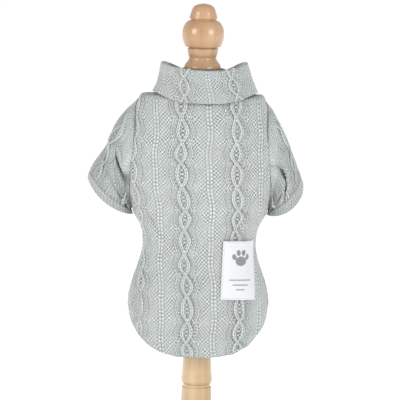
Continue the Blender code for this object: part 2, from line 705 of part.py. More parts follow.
def collar_crest(turn):
    """Height of the collar's folded top edge."""
    return round_height(turn, *COLLAR_CREST) + COLLAR_WAVE * np.cos(3 * turn + 0.6)


def collar_layer(turn, drop, out):
    """A ring of the collar's outer layer, moved outwards by so many mm."""
    drops = column_of(COLLAR_OUTER, COLLAR_COLUMNS, "drop")
    width, back, belly, centre = (
        smooth(drops, column_of(COLLAR_OUTER, COLLAR_COLUMNS, name), drop)
        for name in COLLAR_COLUMNS[1:]
    )
    crest = collar_crest(turn)
    edge = round_height(turn, *COLLAR_EDGE) + COLLAR_WAVE * np.cos(5 * turn)
    z = crest + (edge - crest) * drop
    return collar_point(turn, width + out, back + out, belly + out, centre, z)


def collar_stand(turn, share, inwards, lift):
    """A ring of the collar's stand, which rises from the neck seam to the crest."""
    low, high = np.array(COLLAR_STAND), np.array(COLLAR_STAND_TOP)
    width, back, belly = low + (high - low) * share - inwards
    foot = TORSO_SECTIONS[-1][0] + SEAM + COLLAR_SEAT
    z = foot + (collar_crest(turn) - COLLAR_VALLEY - foot) * share + lift
    return collar_point(turn, width, back, belly, COLLAR_STAND_SHIFT * share, z)


def make_collar(look, collection):
    """The turtleneck: a stand that is folded over outwards."""
    fine = np.linspace(0, 2 * math.pi, COLLAR_AROUND, endpoint=False)
    coarse = fine[::2]
    facing = np.clip((fine + math.pi) % (2 * math.pi) - math.pi, -math.pi / 2, math.pi / 2)
    across = across_at(facing, TOP_LEVEL) * COLLAR_KNIT_SPREAD
    outer = []
    for drop in COLLAR_ROWS:
        raised = knit(across, CABLE_LEVEL + COLLAR_KNIT_HEIGHT * (1 - drop))
        raised = raised * COLLAR_KNIT_SHARE * ramp(drop, 0.0, 0.15) * ramp(np.cos(fine), -0.2, 0.2)
        outer.append(collar_layer(fine, drop, raised))
    rest = [collar_stand(coarse, *row) for row in COLLAR_STAND_RINGS]
    rest += [collar_layer(coarse, drop, -inwards) for drop, inwards in COLLAR_BACK_RINGS]
    return cloth_wall("collar", np.array(outer), np.array(rest), True, look, collection)


def make_patch(look, collection):
    """A thin label that lies on the back panel's raised columns."""
    z = np.linspace(PATCH_FOOT, PATCH_TOP, PATCH_ROWS + 1)[:, None]
    across = PATCH_ACROSS + np.linspace(0, PATCH_WIDE, PATCH_COLUMNS + 1)[None, :]
    across = across + PATCH_SLANT * (z - PATCH_FOOT)
    level = level_at(z + 0 * across)
    turn = turn_at(across, level)
    away = np.abs((across - CABLE_AT - LEAN * (CABLE_LEVEL - z) + REPEAT / 2) % REPEAT - REPEAT / 2)
    lying = STRAND_HEIGHT + STRAND_LIFT - (STRAND_HEIGHT - RIB_HEIGHT) * ramp(away, 13.0, 24.0)
    lying = lying + body_folds(turn, z) + PATCH_CLEAR
    outer = body(turn, level, lying + PATCH_THICK)
    inner = body(turn[::2, ::2], level[::2, ::2], lying[::2, ::2])
    return cloth_wall("patch", outer, inner, False, look, collection)


# ---------------------------------------------------------------- the stand
def make_form_body(look, collection):
    """The whole smooth torso, a little smaller than the cloth's inside."""
    around = np.linspace(-math.pi, math.pi, FORM_AROUND, endpoint=False)
    shoulder = level_at(ARMHOLE_TOP)
    levels = np.concatenate(
        [
            np.linspace(level_at(FORM_FOOT), shoulder, FORM_ROWS, endpoint=False),
            np.linspace(shoulder, TOP_LEVEL, SHOULDER_ROWS // 2 + 1),
        ]
    )
    ease = smooth(SECTION_LEVEL, SECTION_EASE, levels)
    rings = [body(around, level + 0 * around, -CLOTH - gap) for level, gap in zip(levels, ease)]
    flat_foot = rings[0] * FORM_FOOT_SHARE
    flat_foot[:, 2] = FORM_FOOT - FORM_FOOT_DROP
    rings.insert(0, flat_foot)
    shape = np.stack([np.sin(around), -np.cos(around)], axis=-1)
    for z, width, depth in (
        (NECK_FOOT, NECK_WIDTH + NECK_FLARE, NECK_DEPTH + NECK_FLARE),
        (NECK_STRAIGHT, NECK_WIDTH, NECK_DEPTH),
        (NECK_TOP, NECK_WIDTH, NECK_DEPTH),
    ):
        ring = np.column_stack([shape * (width, depth), np.full(FORM_AROUND, z)])
        rings.append(ring)
    rings = np.array(rings)
    numbers = np.arange(rings.shape[0] * FORM_AROUND).reshape(rings.shape[:2])
    faces = grid_faces(numbers, True)
    faces += [numbers[0].tolist(), numbers[-1].tolist()]
    return finish_mesh("form_body", rings.reshape(-1, 3), faces, look, collection)


def make_neck_cap(look, collection):
    """A dome from the oval neck to the round foot of the finial."""
    around = np.linspace(-math.pi, math.pi, FORM_AROUND, endpoint=False)
    shape = np.stack([np.sin(around), -np.cos(around)], axis=-1)
    rings = []
    for share in CAP_SHARES:
        inward = 1 - math.cos(share * math.pi / 2)
        rise = math.sin(share * math.pi / 2)
        width = NECK_WIDTH + (CAP_FLAT - NECK_WIDTH) * inward
        depth = NECK_DEPTH + (CAP_FLAT - NECK_DEPTH) * inward
        z = NECK_TOP + SEAM + (CAP_TOP - NECK_TOP - SEAM) * rise
        rings.append(np.column_stack([shape * (width, depth), np.full(FORM_AROUND, z)]))
    rings = np.array(rings)
    numbers = np.arange(rings.shape[0] * FORM_AROUND).reshape(rings.shape[:2])
    faces = grid_faces(numbers, True)
    faces += [numbers[0].tolist(), numbers[-1].tolist()]
    return finish_mesh("neck_cap", rings.reshape(-1, 3), faces, look, collection)


def make_base(look, collection):
    """The round foot, with a rounded rim."""
    bpy.ops.mesh.primitive_cylinder_add(
        vertices=BASE_SIDES, radius=BASE_RADIUS * MM, depth=BASE_HEIGHT * MM,
        location=(0, 0, BASE_HEIGHT / 2 * MM),
    )
    made = bpy.context.object
    made.name = "base"
    made.data.name = "base"
    made.data.materials.append(look)
    for holder in list(made.users_collection):
        holder.objects.unlink(made)
    collection.objects.link(made)
    bevel = made.modifiers.new("round", "BEVEL")
    bevel.width = BASE_ROUND * MM
    bevel.segments = 2
    bevel.limit_method = "ANGLE"
    made.data.shade_smooth()
    made.data.set_sharp_from_angle(angle=math.radians(50))
    return made


def main():
    """Clear the scene and build every sub-part."""
    for old in list(bpy.data.objects):
        bpy.data.objects.remove(old, do_unlink=True)
    collection = part_collection()
    make_base(material("base_beech", *BEECH), collection)
    post_top = FORM_FOOT - FORM_FOOT_DROP - SEAM
    post = ((post_top, POST_PROFILE[0][1]),) + POST_PROFILE
    turned("post", post, 0.0, BASE_HEIGHT + SEAM, material("post_beech", *BEECH), collection)
    make_form_body(material("form_jersey", *JERSEY), collection)
    make_neck_cap(material("cap_cloth", *CAP_CLOTH), collection)
    finial_look = material("finial_beech", *BEECH)
    turned("finial", FINIAL_PROFILE, FINIAL_CROWN, FINIAL_FOOT, finial_look, collection)
    make_back_panel(material("back_panel_knit", *WOOL), collection)
    make_belly_panel(material("belly_panel_knit", *WOOL), collection)
    sides = (("left", -1, LEFT_SLEEVE, LEFT_CUFF), ("right", 1, RIGHT_SLEEVE, RIGHT_CUFF))
    for name, side, sleeve, cuff in sides:
        make_sleeve(f"{name}_sleeve", sleeve, side, material(f"{name}_sleeve_knit", *WOOL), collection)
        make_cuff(f"{name}_cuff", cuff, side, material(f"{name}_cuff_rib", *WOOL), collection)
    make_collar(material("collar_knit", *WOOL), collection)
    make_patch(material("patch_cloth", *PATCH_CLOTH), collection)


if __name__ == "__main__":
    main()
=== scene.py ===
"""A cable-knit dog sweater on a small limbless dress form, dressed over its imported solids.

Sizes are millimetres in the classes and metres in the meshes. +Z is up, the sweater's back panel
faces -Y, and every finished piece sits at the origin with its place in its mesh.
"""

import logging
import math
from dataclasses import dataclass, field, replace
from enum import Enum
from typing import Optional, Sequence, Union

import bpy
import numpy as np
from mathutils import Matrix


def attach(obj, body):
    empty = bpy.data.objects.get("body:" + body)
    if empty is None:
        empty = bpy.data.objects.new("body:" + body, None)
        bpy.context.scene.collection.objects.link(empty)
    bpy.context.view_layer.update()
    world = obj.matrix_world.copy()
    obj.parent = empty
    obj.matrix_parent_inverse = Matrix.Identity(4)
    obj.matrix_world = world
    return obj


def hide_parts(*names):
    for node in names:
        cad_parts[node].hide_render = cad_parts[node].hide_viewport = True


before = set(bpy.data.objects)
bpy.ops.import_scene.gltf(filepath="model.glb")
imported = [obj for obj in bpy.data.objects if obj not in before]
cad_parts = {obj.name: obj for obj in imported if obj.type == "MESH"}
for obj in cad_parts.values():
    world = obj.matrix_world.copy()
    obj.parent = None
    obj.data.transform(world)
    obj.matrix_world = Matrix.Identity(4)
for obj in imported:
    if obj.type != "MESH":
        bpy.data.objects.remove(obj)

Array = np.ndarray
Row = tuple[float, ...]
Pair = tuple[float, float]
Key = Union[int, str]
Piece = bpy.types.Object
Material = bpy.types.Material
LOG = logging.getLogger("dog_sweater")
MM = 0.001
QUARTER = math.pi / 2
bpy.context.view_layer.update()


class Hold(Enum):
    """How a sheet of cloth is held in its place."""

    STRETCHED = "stretched"
    GATHERED = "gathered"
    FOLDED = "folded"
    LAID = "laid"


class Side(Enum):
    """The two sides of the sweater, with the sign of X there."""

    LEFT = -1
    RIGHT = 1


# ---- small maths
def smooth(knots: Array, values: Array, at: Array) -> Array:
    """A cubic Hermite curve through the values, with central slopes.

    Args:
        knots: rising places of the values.
        values: the values there.
        at: places to read, held inside the knots.

    Returns:
        The curve's values.
    """
    at = np.clip(np.asarray(at, float), knots[0], knots[-1])
    slope = np.gradient(values, knots)
    i = np.clip(np.searchsorted(knots, at, side="right") - 1, 0, len(knots) - 2)
    step = knots[i + 1] - knots[i]
    u = (at - knots[i]) / step
    return (
        (1 + 2 * u) * (1 - u) ** 2 * values[i]
        + u * (1 - u) ** 2 * step * slope[i]
        + u * u * (3 - 2 * u) * values[i + 1]
        + u * u * (u - 1) * step * slope[i + 1]
    )


def ramp(value: Array, start: float, end: float) -> Array:
    """0 before start, 1 after end and a cubic ease between."""
    u = np.clip((value - start) / (end - start), 0, 1)
    return u * u * (3 - 2 * u)


def soft_greatest(a: Array, b: Array, softness: float) -> Array:
    """The greater of two heights, rounded where they meet: half of a + b + the root of (a-b)^2 + k^2."""
    return (a + b + np.sqrt((a - b) ** 2 + softness**2) - softness) / 2


def column(rows: Sequence[Row], names: Sequence[str], name: str) -> Array:
    """One named column of a table, as an array."""
    return np.array([row[names.index(name)] for row in rows], float)


def wrapped(turn: Array) -> Array:
    """Angles brought to between -pi and pi."""
    return (turn + math.pi) % (2 * math.pi) - math.pi


def ripple(place: Array, lengths: Row, seed: float) -> Array:
    """A soft uneven wave from -1 to 1: a mean of sines of unlike lengths, offset by the seed."""
    waves = [np.sin(2 * math.pi * place / each + seed * (k + 1)) for k, each in enumerate(lengths)]
    return sum(waves) / len(waves)


def shade_in_hollows(height: Array, passes: int) -> Array:
    """The painted shade of each place: how far it lies below the places round it, and how low it lies, up to
    about 1.
    """
    below = np.clip(blurred(height, passes) - height, 0, 0.8) / 0.8
    return below + 0.22 * np.clip(1 - height / 1.2, 0, 1)


def blurred(height: Array, passes: int) -> Array:
    """The height averaged over its neighbours, by repeated 1-2-1 weights along rows and columns.

    Args:
        height: the grid.
        passes: how often it is averaged.

    Returns:
        The averaged grid.
    """
    for _ in range(passes):
        height = np.pad(height, 1, mode="edge")
        height = (height[:-2] + 2 * height[1:-1] + height[2:]) / 4
        height = (height[:, :-2] + 2 * height[:, 1:-1] + height[:, 2:]) / 4
    return height


# ---- the knitting
@dataclass(frozen=True)
class KnitPattern:
    """Columns of the knitting, in mm: chain cables between two cords, seed stitch and a double rib.

    A cable is two half-round strands whose middles swing as a cosine of the height, one the
    mirror of the other, and the higher strand shows. A thin cord on each side comes nearer where
    the cable is narrow. The pairs named from, beyond and to are the distances from a cable's
    middle over which something starts and ends. The eases are the heights or distances over
    which one kind of knitting turns into the next; a cord's is in its own half widths.
    """

    repeat: float = 59.0
    cable_at: float = -22.5
    cable_level: float = 380.0
    lean: float = 0.044
    crossing: float = 24.4
    crossing_foot: float = 8.8
    swing: float = 5.1
    strand_half: float = 2.5
    strand_height: float = 2.7
    strand_lift: float = 0.6
    cord_at: float = 11.2
    cord_swing: float = 1.5
    cord_half: float = 1.3
    cord_height: float = 0.9
    calm_height: float = 0.15
    seed_height: float = 0.9
    seed_bump: float = 0.30
    inside_bump: float = 0.65
    rib_height: float = 1.0
    rib_half: float = 1.9
    rib_share: float = 0.35
    calm_share: float = 0.45
    rib_at: float = 1.9
    wander: float = 0.5
    inside_ease: Pair = (0.4, 1.6)
    strand_ease: Pair = (0.0, 1.2)
    cord_ease: Pair = (0.9, 1.9)
    rib_ease: float = 0.6
    wander_from: Pair = (10.0, 14.0)
    wander_to: Pair = (23.0, 26.0)
    swing_beyond: Pair = (11.0, 18.0)
    pitches: int = 28
    stitch: float = 4.4
    side_share: float = 0.6
    sway: tuple[Row, ...] = ((97.0, 1.2, 0.4), (41.0, 0.6, 1.9))
    drift: tuple[Row, ...] = ((67.0, 1.7, 1.1), (29.0, 0.8, 0.2))

    @property
    def seed_pitch(self) -> float:
        """Width and height of a seed stitch; whole stitches fill a repeat."""
        return self.repeat / self.pitches

    def waves(self, rows: tuple[Row, ...], z: Array) -> Array:
        """A sum of sines of the height, each of a length, a size and a start."""
        return sum(size * np.sin(2 * math.pi * z / length + start) for length, size, start in rows)

    def from_cable(self, across: Array, z: Array) -> tuple[Array, Array]:
        """Sideways distance from the nearest cable's middle, and that cable's number."""
        place = across - self.cable_at - self.lean * (self.cable_level - z) + self.waves(self.sway, z)
        return place - np.round(place / self.repeat) * self.repeat, np.round(place / self.repeat)

    def phase(self, z: Array) -> Array:
        """Phase of the cables' swing at a height."""
        return math.pi * (z + self.waves(self.drift, z) - self.crossing_foot) / self.crossing

    def strands(self, away: Array, z: Array) -> tuple[Array, Array]:
        """Heights of a cable's two strands, each half a circle across.

        Args:
            away, z: the place, from the cable's middle.

        Returns:
            Both heights.
        """
        phase = self.phase(z)
        middle = self.swing * np.cos(phase)
        lift = self.strand_lift * np.sin(phase)
        first = np.sqrt(np.clip(1 - ((away - middle) / self.strand_half) ** 2, 0, 1))
        second = np.sqrt(np.clip(1 - ((away + middle) / self.strand_half) ** 2, 0, 1))
        return (self.strand_height + lift) * first, (self.strand_height - lift) * second

    def cord_middle(self, z: Array) -> Array:
        """Distance of the cords from the cable's middle: a cosine of twice the cable's phase."""
        return self.cord_at + self.cord_swing * np.cos(2 * self.phase(z))

    def stitch_place(self, away: Array, z: Array) -> tuple[Array, Array]:
        """Sideways and lengthwise places in the stitches, in mm.

        The sideways place is measured from the nearest strand's middle, whose swing fades towards
        the rib and never quite reaches 0, so that no line has a corner. Both places wander a
        little by sines of unlike lengths. Half a stitch fills each half of the rib.

        Args:
            away, z: the place, from the cable's middle.

        Returns:
            Both places.
        """
        fade = self.wander * (1 - ramp(np.abs(away), *self.wander_to))
        sideways = np.sin(0.43 * z + 1.9 * np.sin(0.31 * away)) + np.sin(0.171 * z + 0.8 * np.abs(away))
        lengthwise = np.sin(0.47 * away + 2.3 * np.sin(0.113 * z)) + np.sin(0.59 * z - 0.27 * away)
        swing = self.swing * np.sqrt(np.cos(self.phase(z)) ** 2 + 0.02)
        beyond = ramp(np.abs(away), *self.swing_beyond)
        fade = fade * ramp(np.abs(away), *self.wander_from)
        edge = self.rib_at + self.rib_half
        first = (self.repeat / 2 - edge) % self.stitch - self.stitch / 2
        in_rib = np.clip(edge - self.repeat / 2 + np.abs(away), 0, None)
        place = np.abs(away) - swing * (1 - beyond) - first * beyond
        place = place + (self.stitch / 4 / self.rib_half - 1) * in_rib
        return place + 0.5 * fade * sideways, z + 0.5 * fade * lengthwise

    def inside_share(self, away: Array, z: Array) -> Array:
        """1 between a cable's strands where they stand apart, 0 elsewhere, and an ease between."""
        return ramp(self.swing * np.abs(np.cos(self.phase(z))) - np.abs(away), *self.inside_ease)

    def plain_share(self, away: Array, z: Array) -> Array:
        """1 on the cables and cords, less between them and on the rib, 0 in the seed stitch.

        Args:
            away, z: the place, from the cable's middle.

        Returns:
            The share.
        """
        first, second = self.strands(away, z)
        from_cord = (np.abs(away) - self.cord_middle(z)) / self.cord_half
        on_strand = ramp(np.maximum(first, second), *self.strand_ease)
        on_cord = ramp(-np.abs(from_cord), -1.9, -0.7)
        calm = self.calm_share * (1 - ramp(from_cord, *self.cord_ease)) * (1 - self.inside_share(away, z))
        from_middle = self.repeat / 2 - np.abs(away)
        edge = self.rib_at + self.rib_half
        on_rib = self.rib_share * (1 - ramp(from_middle, edge - self.rib_ease, edge + self.rib_ease))
        return np.maximum(np.maximum(on_strand, on_cord), np.maximum(calm, on_rib))

    def height(self, across: Array, z: Array) -> Array:
        """Height of the knitting over the plain face.

        The greatest of the two strands, the cords, the seed stitch's chequer of bumps and the
        rib's two parabolas, with softened valleys between the strands. Cables beside the middle
        two are lower.

        Args:
            across, z: the place on the cloth.

        Returns:
            The height.
        """
        away, number = self.from_cable(across, z)
        share = np.where(np.abs(number - 0.5) < 1, 1.0, self.side_share)
        first, second = self.strands(away, z)
        from_cord = (np.abs(away) - self.cord_middle(z)) / self.cord_half
        cord = self.cord_height * np.sqrt(np.clip(1 - from_cord**2, 0, 1))
        place, along = self.stitch_place(away, z)
        chequer = np.cos(math.pi * place / self.seed_pitch) * np.cos(math.pi * along / self.seed_pitch)
        patchy = 1 + 0.35 * np.sin(0.21 * z + 1.3 * np.sin(0.17 * away))
        from_middle = self.repeat / 2 - np.abs(away)
        from_edge = from_middle - self.rib_at - self.rib_half
        field = ramp(from_cord, *self.cord_ease) * ramp(from_edge, -self.rib_ease, self.rib_ease)
        inside = self.inside_share(away, z)
        seed = field * (self.seed_height + self.seed_bump * patchy * chequer)
        seed = seed + inside * (self.seed_height + self.inside_bump * chequer)
        from_rib = (from_middle - self.rib_at) / self.rib_half
        rib = self.rib_height * np.clip(1 - from_rib**2, 0, 1)
        ground = np.maximum(np.maximum(seed, rib), self.calm_height * ramp(-from_cord, -1.0, 0.0))
        return soft_greatest(share * soft_greatest(first, second, 0.5), np.maximum(cord, ground), 0.3)

    def maps(self, across: Array, z: Array) -> tuple[Array, Array, Array]:
        """Sideways and lengthwise place in the stitches, and the kind of knitting, from 0 to 1."""
        away, _ = self.from_cable(across, z)
        return (*self.stitch_place(away, z), self.plain_share(away, z))


@dataclass(frozen=True)
class Fold:
    """A soft fold that runs along a straight line over a panel, in mm.

    Its height is a bell across the line times a sine along it, with a lower bell of the other
    sign on both sides.
    """

    start: Pair
    end: Pair
    half_width: float
    size: float

    def height(self, across: Array, z: Array) -> Array:
        """Height of the fold at places across and up the panel.

        Args:
            across, z: the place on the panel.

        Returns:
            The height.
        """
        start, end = np.array(self.start), np.array(self.end)
        length = float(np.hypot(*(end - start)))
        way = (end - start) / length
        along = ((across - start[0]) * way[0] + (z - start[1]) * way[1]) / length
        away = (across - start[0]) * way[1] - (z - start[1]) * way[0]
        bend = 0.12 * length * np.sin(math.pi * np.clip(along, 0, 1))
        bell = np.exp(-(((away - bend) / self.half_width) ** 2))
        wide = np.exp(-(((away - bend) / (2.6 * self.half_width)) ** 2))
        return self.size * (bell - 0.35 * wide) * np.sin(math.pi * np.clip(along, 0, 1)) ** 0.8


# ---- the body
@dataclass
class TorsoShape:
    """The worn body's outer face: oval sections up the torso, with broad soft folds."""

    columns: tuple[str, ...] = ("z", "half_width", "back_depth", "belly_depth", "ease")
    sections: tuple[Row, ...] = (
        (96, 68.5, 54.0, 52.0, 6.0),
        (112, 70.0, 54.5, 53.0, 6.0),
        (124, 72.0, 55.0, 54.0, 5.5),
        (136, 74.5, 55.5, 54.5, 5.0),
        (152, 76.8, 56.0, 55.5, 4.5),
        (166, 76.0, 55.5, 55.5, 4.2),
        (180, 72.5, 53.5, 54.0, 4.0),
        (194, 67.5, 50.5, 51.5, 3.8),
        (208, 63.4, 48.5, 49.5, 3.8),
        (224, 61.6, 47.5, 49.0, 3.8),
        (240, 64.6, 49.5, 51.5, 3.8),
        (254, 72.2, 52.2, 54.6, 3.6),
        (270, 79.0, 55.3, 58.2, 3.2),
        (290, 85.5, 57.5, 60.5, 2.4),
        (310, 87.5, 58.0, 61.0, 2.2),
        (330, 85.0, 57.0, 59.5, 2.0),
        (350, 80.0, 54.5, 56.5, 2.8),
        (365, 75.5, 51.0, 52.5, 3.0),
        (375.5, 71.8, 47.5, 48.5, 1.7),
        (381, 67.0, 44.0, 44.5, 0.9),
        (383.8, 58.5, 41.0, 41.0, 0.9),
        (386, 45.0, 38.5, 37.5, 0.9),
    )
    fold_columns: tuple[str, ...] = ("turn", "lean", "low", "high", "half_width", "height")
    folds: tuple[Row, ...] = (
        (-66, 0.10, 112, 190, 6, -3.0),
        (-52, 0.06, 104, 170, 8, 2.0),
        (64, -0.08, 108, 182, 6, -2.4),
        (50, -0.05, 104, 160, 8, 1.6),
        (-40, 0.22, 205, 285, 7, -1.8),
        (44, -0.20, 205, 290, 7, -1.8),
        (-12, 0.0, 196, 250, 12, 1.0),
        (132, 0.10, 190, 290, 8, -2.6),
        (180, 0.0, 190, 260, 14, 2.0),
        (228, -0.12, 190, 300, 8, -2.6),
    )
    hem_middle: float = 101.4
    hem_side_rise: float = 43.0
    hem_power: float = 2.6
    belly_hem: float = 186.0
    hem_blend: float = 110.0
    armhole_top: float = 377.0
    armhole_foot: float = 263.0
    armhole_width: float = 28.0
    armhole_power: float = 0.75
    flatness: float = 0.7
    shoulder_corner: Row = (381.5, 9.0, 2.8)
    section: dict[str, Array] = field(init=False)
    level: Array = field(init=False)
    turns: Array = field(init=False)
    shares: Array = field(init=False)

    def __post_init__(self) -> None:
        """Work out the level of each section and the share of a quarter's girth at each turn."""
        self.section = {name: column(self.sections, self.columns, name) for name in self.columns}
        rise, spread = np.diff(self.section["z"]), np.diff(self.section["half_width"])
        self.level = np.concatenate([[0.0], np.cumsum(np.hypot(rise, spread))])
        self.turns = np.linspace(0, QUARTER, 91)
        steps = np.hypot(np.cos(self.turns), self.flatness * np.sin(self.turns))
        shares = np.concatenate([[0.0], np.cumsum((steps[1:] + steps[:-1]) / 2)])
        self.shares = shares / shares[-1]

    def read(self, name: str, level: Array) -> Array:
        """A section column read smoothly at a level."""
        return smooth(self.level, self.section[name], level)

    def level_at(self, z: Array) -> Array:
        """Level of a height; a level is the length up the side's outline."""
        return np.interp(z, self.section["z"], self.level)

    def quarter_girth(self, level: Array) -> Array:
        """Length from the middle of the back to the side, by Ramanujan's formula."""
        a, b = self.read("half_width", level), self.read("back_depth", level)
        return math.pi / 4 * (3 * (a + b) - np.sqrt((3 * a + b) * (a + 3 * b)))

    def turn_at(self, across: Array, level: Array) -> Array:
        """Angle round the body of a place so many mm from the middle of the back."""
        share = np.abs(across) / self.quarter_girth(level)
        return np.sign(across) * np.interp(share, self.shares, self.turns)

    def across_at(self, turn: Array, level: Array) -> Array:
        """The reverse of turn_at, for turns of up to a quarter."""
        share = np.interp(np.abs(turn), self.turns, self.shares)
        return np.sign(turn) * share * self.quarter_girth(level)

    def face(self, turn: Array, level: Array) -> Array:
        """Points of the plain outer face: an oval of half_width by depth at the level's height.

        Args:
            turn, level: the place on the body.

        Returns:
            The points.
        """
        turn, level = np.broadcast_arrays(turn, level)
        back, belly = self.read("back_depth", level), self.read("belly_depth", level)
        depth = np.where(np.cos(turn) > 0, back, belly)
        x = self.read("half_width", level) * np.sin(turn)
        return np.stack([x, -depth * np.cos(turn), self.read("z", level)], axis=-1)

    def point(self, turn: Array, level: Array, out: Array) -> Array:
        """Points of the face moved out along its normal, the cross product of its two slopes.

        Args:
            turn, level: the place on the body.
            out: distance outwards.

        Returns:
            The points.
        """
        small_turn, small_level = 0.01, 0.5
        round_it = self.face(turn + small_turn, level) - self.face(turn - small_turn, level)
        low = np.clip(level - small_level, 0, self.level[-1])
        high = np.clip(level + small_level, 0, self.level[-1])
        normal = np.cross(round_it, self.face(turn, high) - self.face(turn, low))
        normal /= np.linalg.norm(normal, axis=-1, keepdims=True)
        out = np.broadcast_to(out, np.broadcast(turn, level).shape)
        return self.face(turn, level) + normal * out[..., None]

    def fold_height(self, turn: Array, z: Array) -> Array:
        """Height of the broad folds: a bell across each times a squared sine along it.

        Args:
            turn, z: the place on the body.

        Returns:
            The height.
        """
        height = np.zeros(np.broadcast(turn, z).shape)
        degrees = np.degrees(turn)
        for row in self.folds:
            fold = dict(zip(self.fold_columns, row))
            above = z - fold["low"]
            away = (degrees - fold["turn"] - fold["lean"] * above + 180) % 360 - 180
            along = np.clip(above / (fold["high"] - fold["low"]), 0, 1)
            bell = np.exp(-((away / fold["half_width"]) ** 2))
            height += fold["height"] * bell * np.sin(math.pi * along) ** 2
        return height

    def shoulder_height(self, turn: Array, level: Array) -> Array:
        """The squared shoulder: a bell over the level, a power of the sine round the body.

        Args:
            turn, level: the place on the body.

        Returns:
            The height.
        """
        middle, half_width, height = self.shoulder_corner
        over = np.exp(-(((level - self.level_at(middle)) / half_width) ** 2))
        return height * over * np.abs(np.sin(turn)) ** 4 * ramp(self.from_armhole(turn, level), 4.6, 11.0)

    def from_armhole(self, turn: Array, level: Array) -> Array:
        """Distance from the armhole's edge, about in mm, on either side of the body.

        Args:
            turn, level: the place on the body.

        Returns:
            The distance, negative inside the armhole.
        """
        middle, half = self.armhole_middle()
        from_side = np.degrees(QUARTER - np.abs(wrapped(turn)))
        from_side = np.where(np.abs(wrapped(turn)) > QUARTER, -from_side, from_side)
        return (np.hypot(from_side / self.armhole_width, (level - middle) / half) - 1) * half

    def hem_z(self, turn: Array) -> Array:
        """Height of the hem: a power of the turn, eased by tanh up to the belly's edge.

        Args:
            turn: angle round the body.

        Returns:
            The height.
        """
        rise = self.hem_side_rise * (np.abs(wrapped(turn)) / QUARTER) ** self.hem_power
        top = self.belly_hem - self.hem_middle
        return self.hem_middle + top * np.tanh(rise / top)

    def armhole_middle(self) -> Pair:
        """Level of the armhole's middle, and half its height."""
        foot, top = self.level_at(self.armhole_foot), self.level_at(self.armhole_top)
        return (foot + top) / 2, (top - foot) / 2

    def armhole_turn(self, level: Array) -> Array:
        """Angle from the side to the armhole's edge, and nothing above or below it.

        Args:
            level: length up the side's outline.

        Returns:
            The angle.
        """
        middle, half = self.armhole_middle()
        inside = np.clip(1 - ((level - middle) / half) ** 2, 0, 1)
        return np.radians(self.armhole_width) * inside**self.armhole_power

    def hem_shaped(self, levels: Array, turn: Array, hem: float) -> Array:
        """Rows that are level above the waist and follow the hem at the bottom.

        Args:
            levels, turn: the places on the body.
            hem: height where the rows start.

        Returns:
            The shaped levels.
        """
        first = self.level_at(hem)
        blend = (1 - np.clip((levels - first) / self.hem_blend, 0, 1)) ** 2
        return levels + (self.level_at(self.hem_z(turn)) - first) * blend

    def relief_share(self, turn: Array, level: Array, from_edge: Array) -> Array:
        """How much of the relief is left near the side seams, the armholes and the collar, 0 to 1."""
        share = ramp(from_edge, 0.4, 3.6) * ramp(self.from_armhole(turn, level), 5.0, 9.0)
        return share * (1 - ramp(level, self.level[-1] - 26.0, self.level[-1] - 14.0))

    def width_at(self, points: Array) -> Array:
        """Sideways distance of the body's plain face at the points' heights and depths.

        Args:
            points: places beside the body.

        Returns:
            The distances.
        """
        level = self.level_at(points[..., 2])
        back, belly = self.read("back_depth", level), self.read("belly_depth", level)
        depth = np.where(points[..., 1] < 0, back, belly)
        share = np.sqrt(np.clip(1 - (points[..., 1] / depth) ** 2, 0, 1))
        return self.read("half_width", level) * share


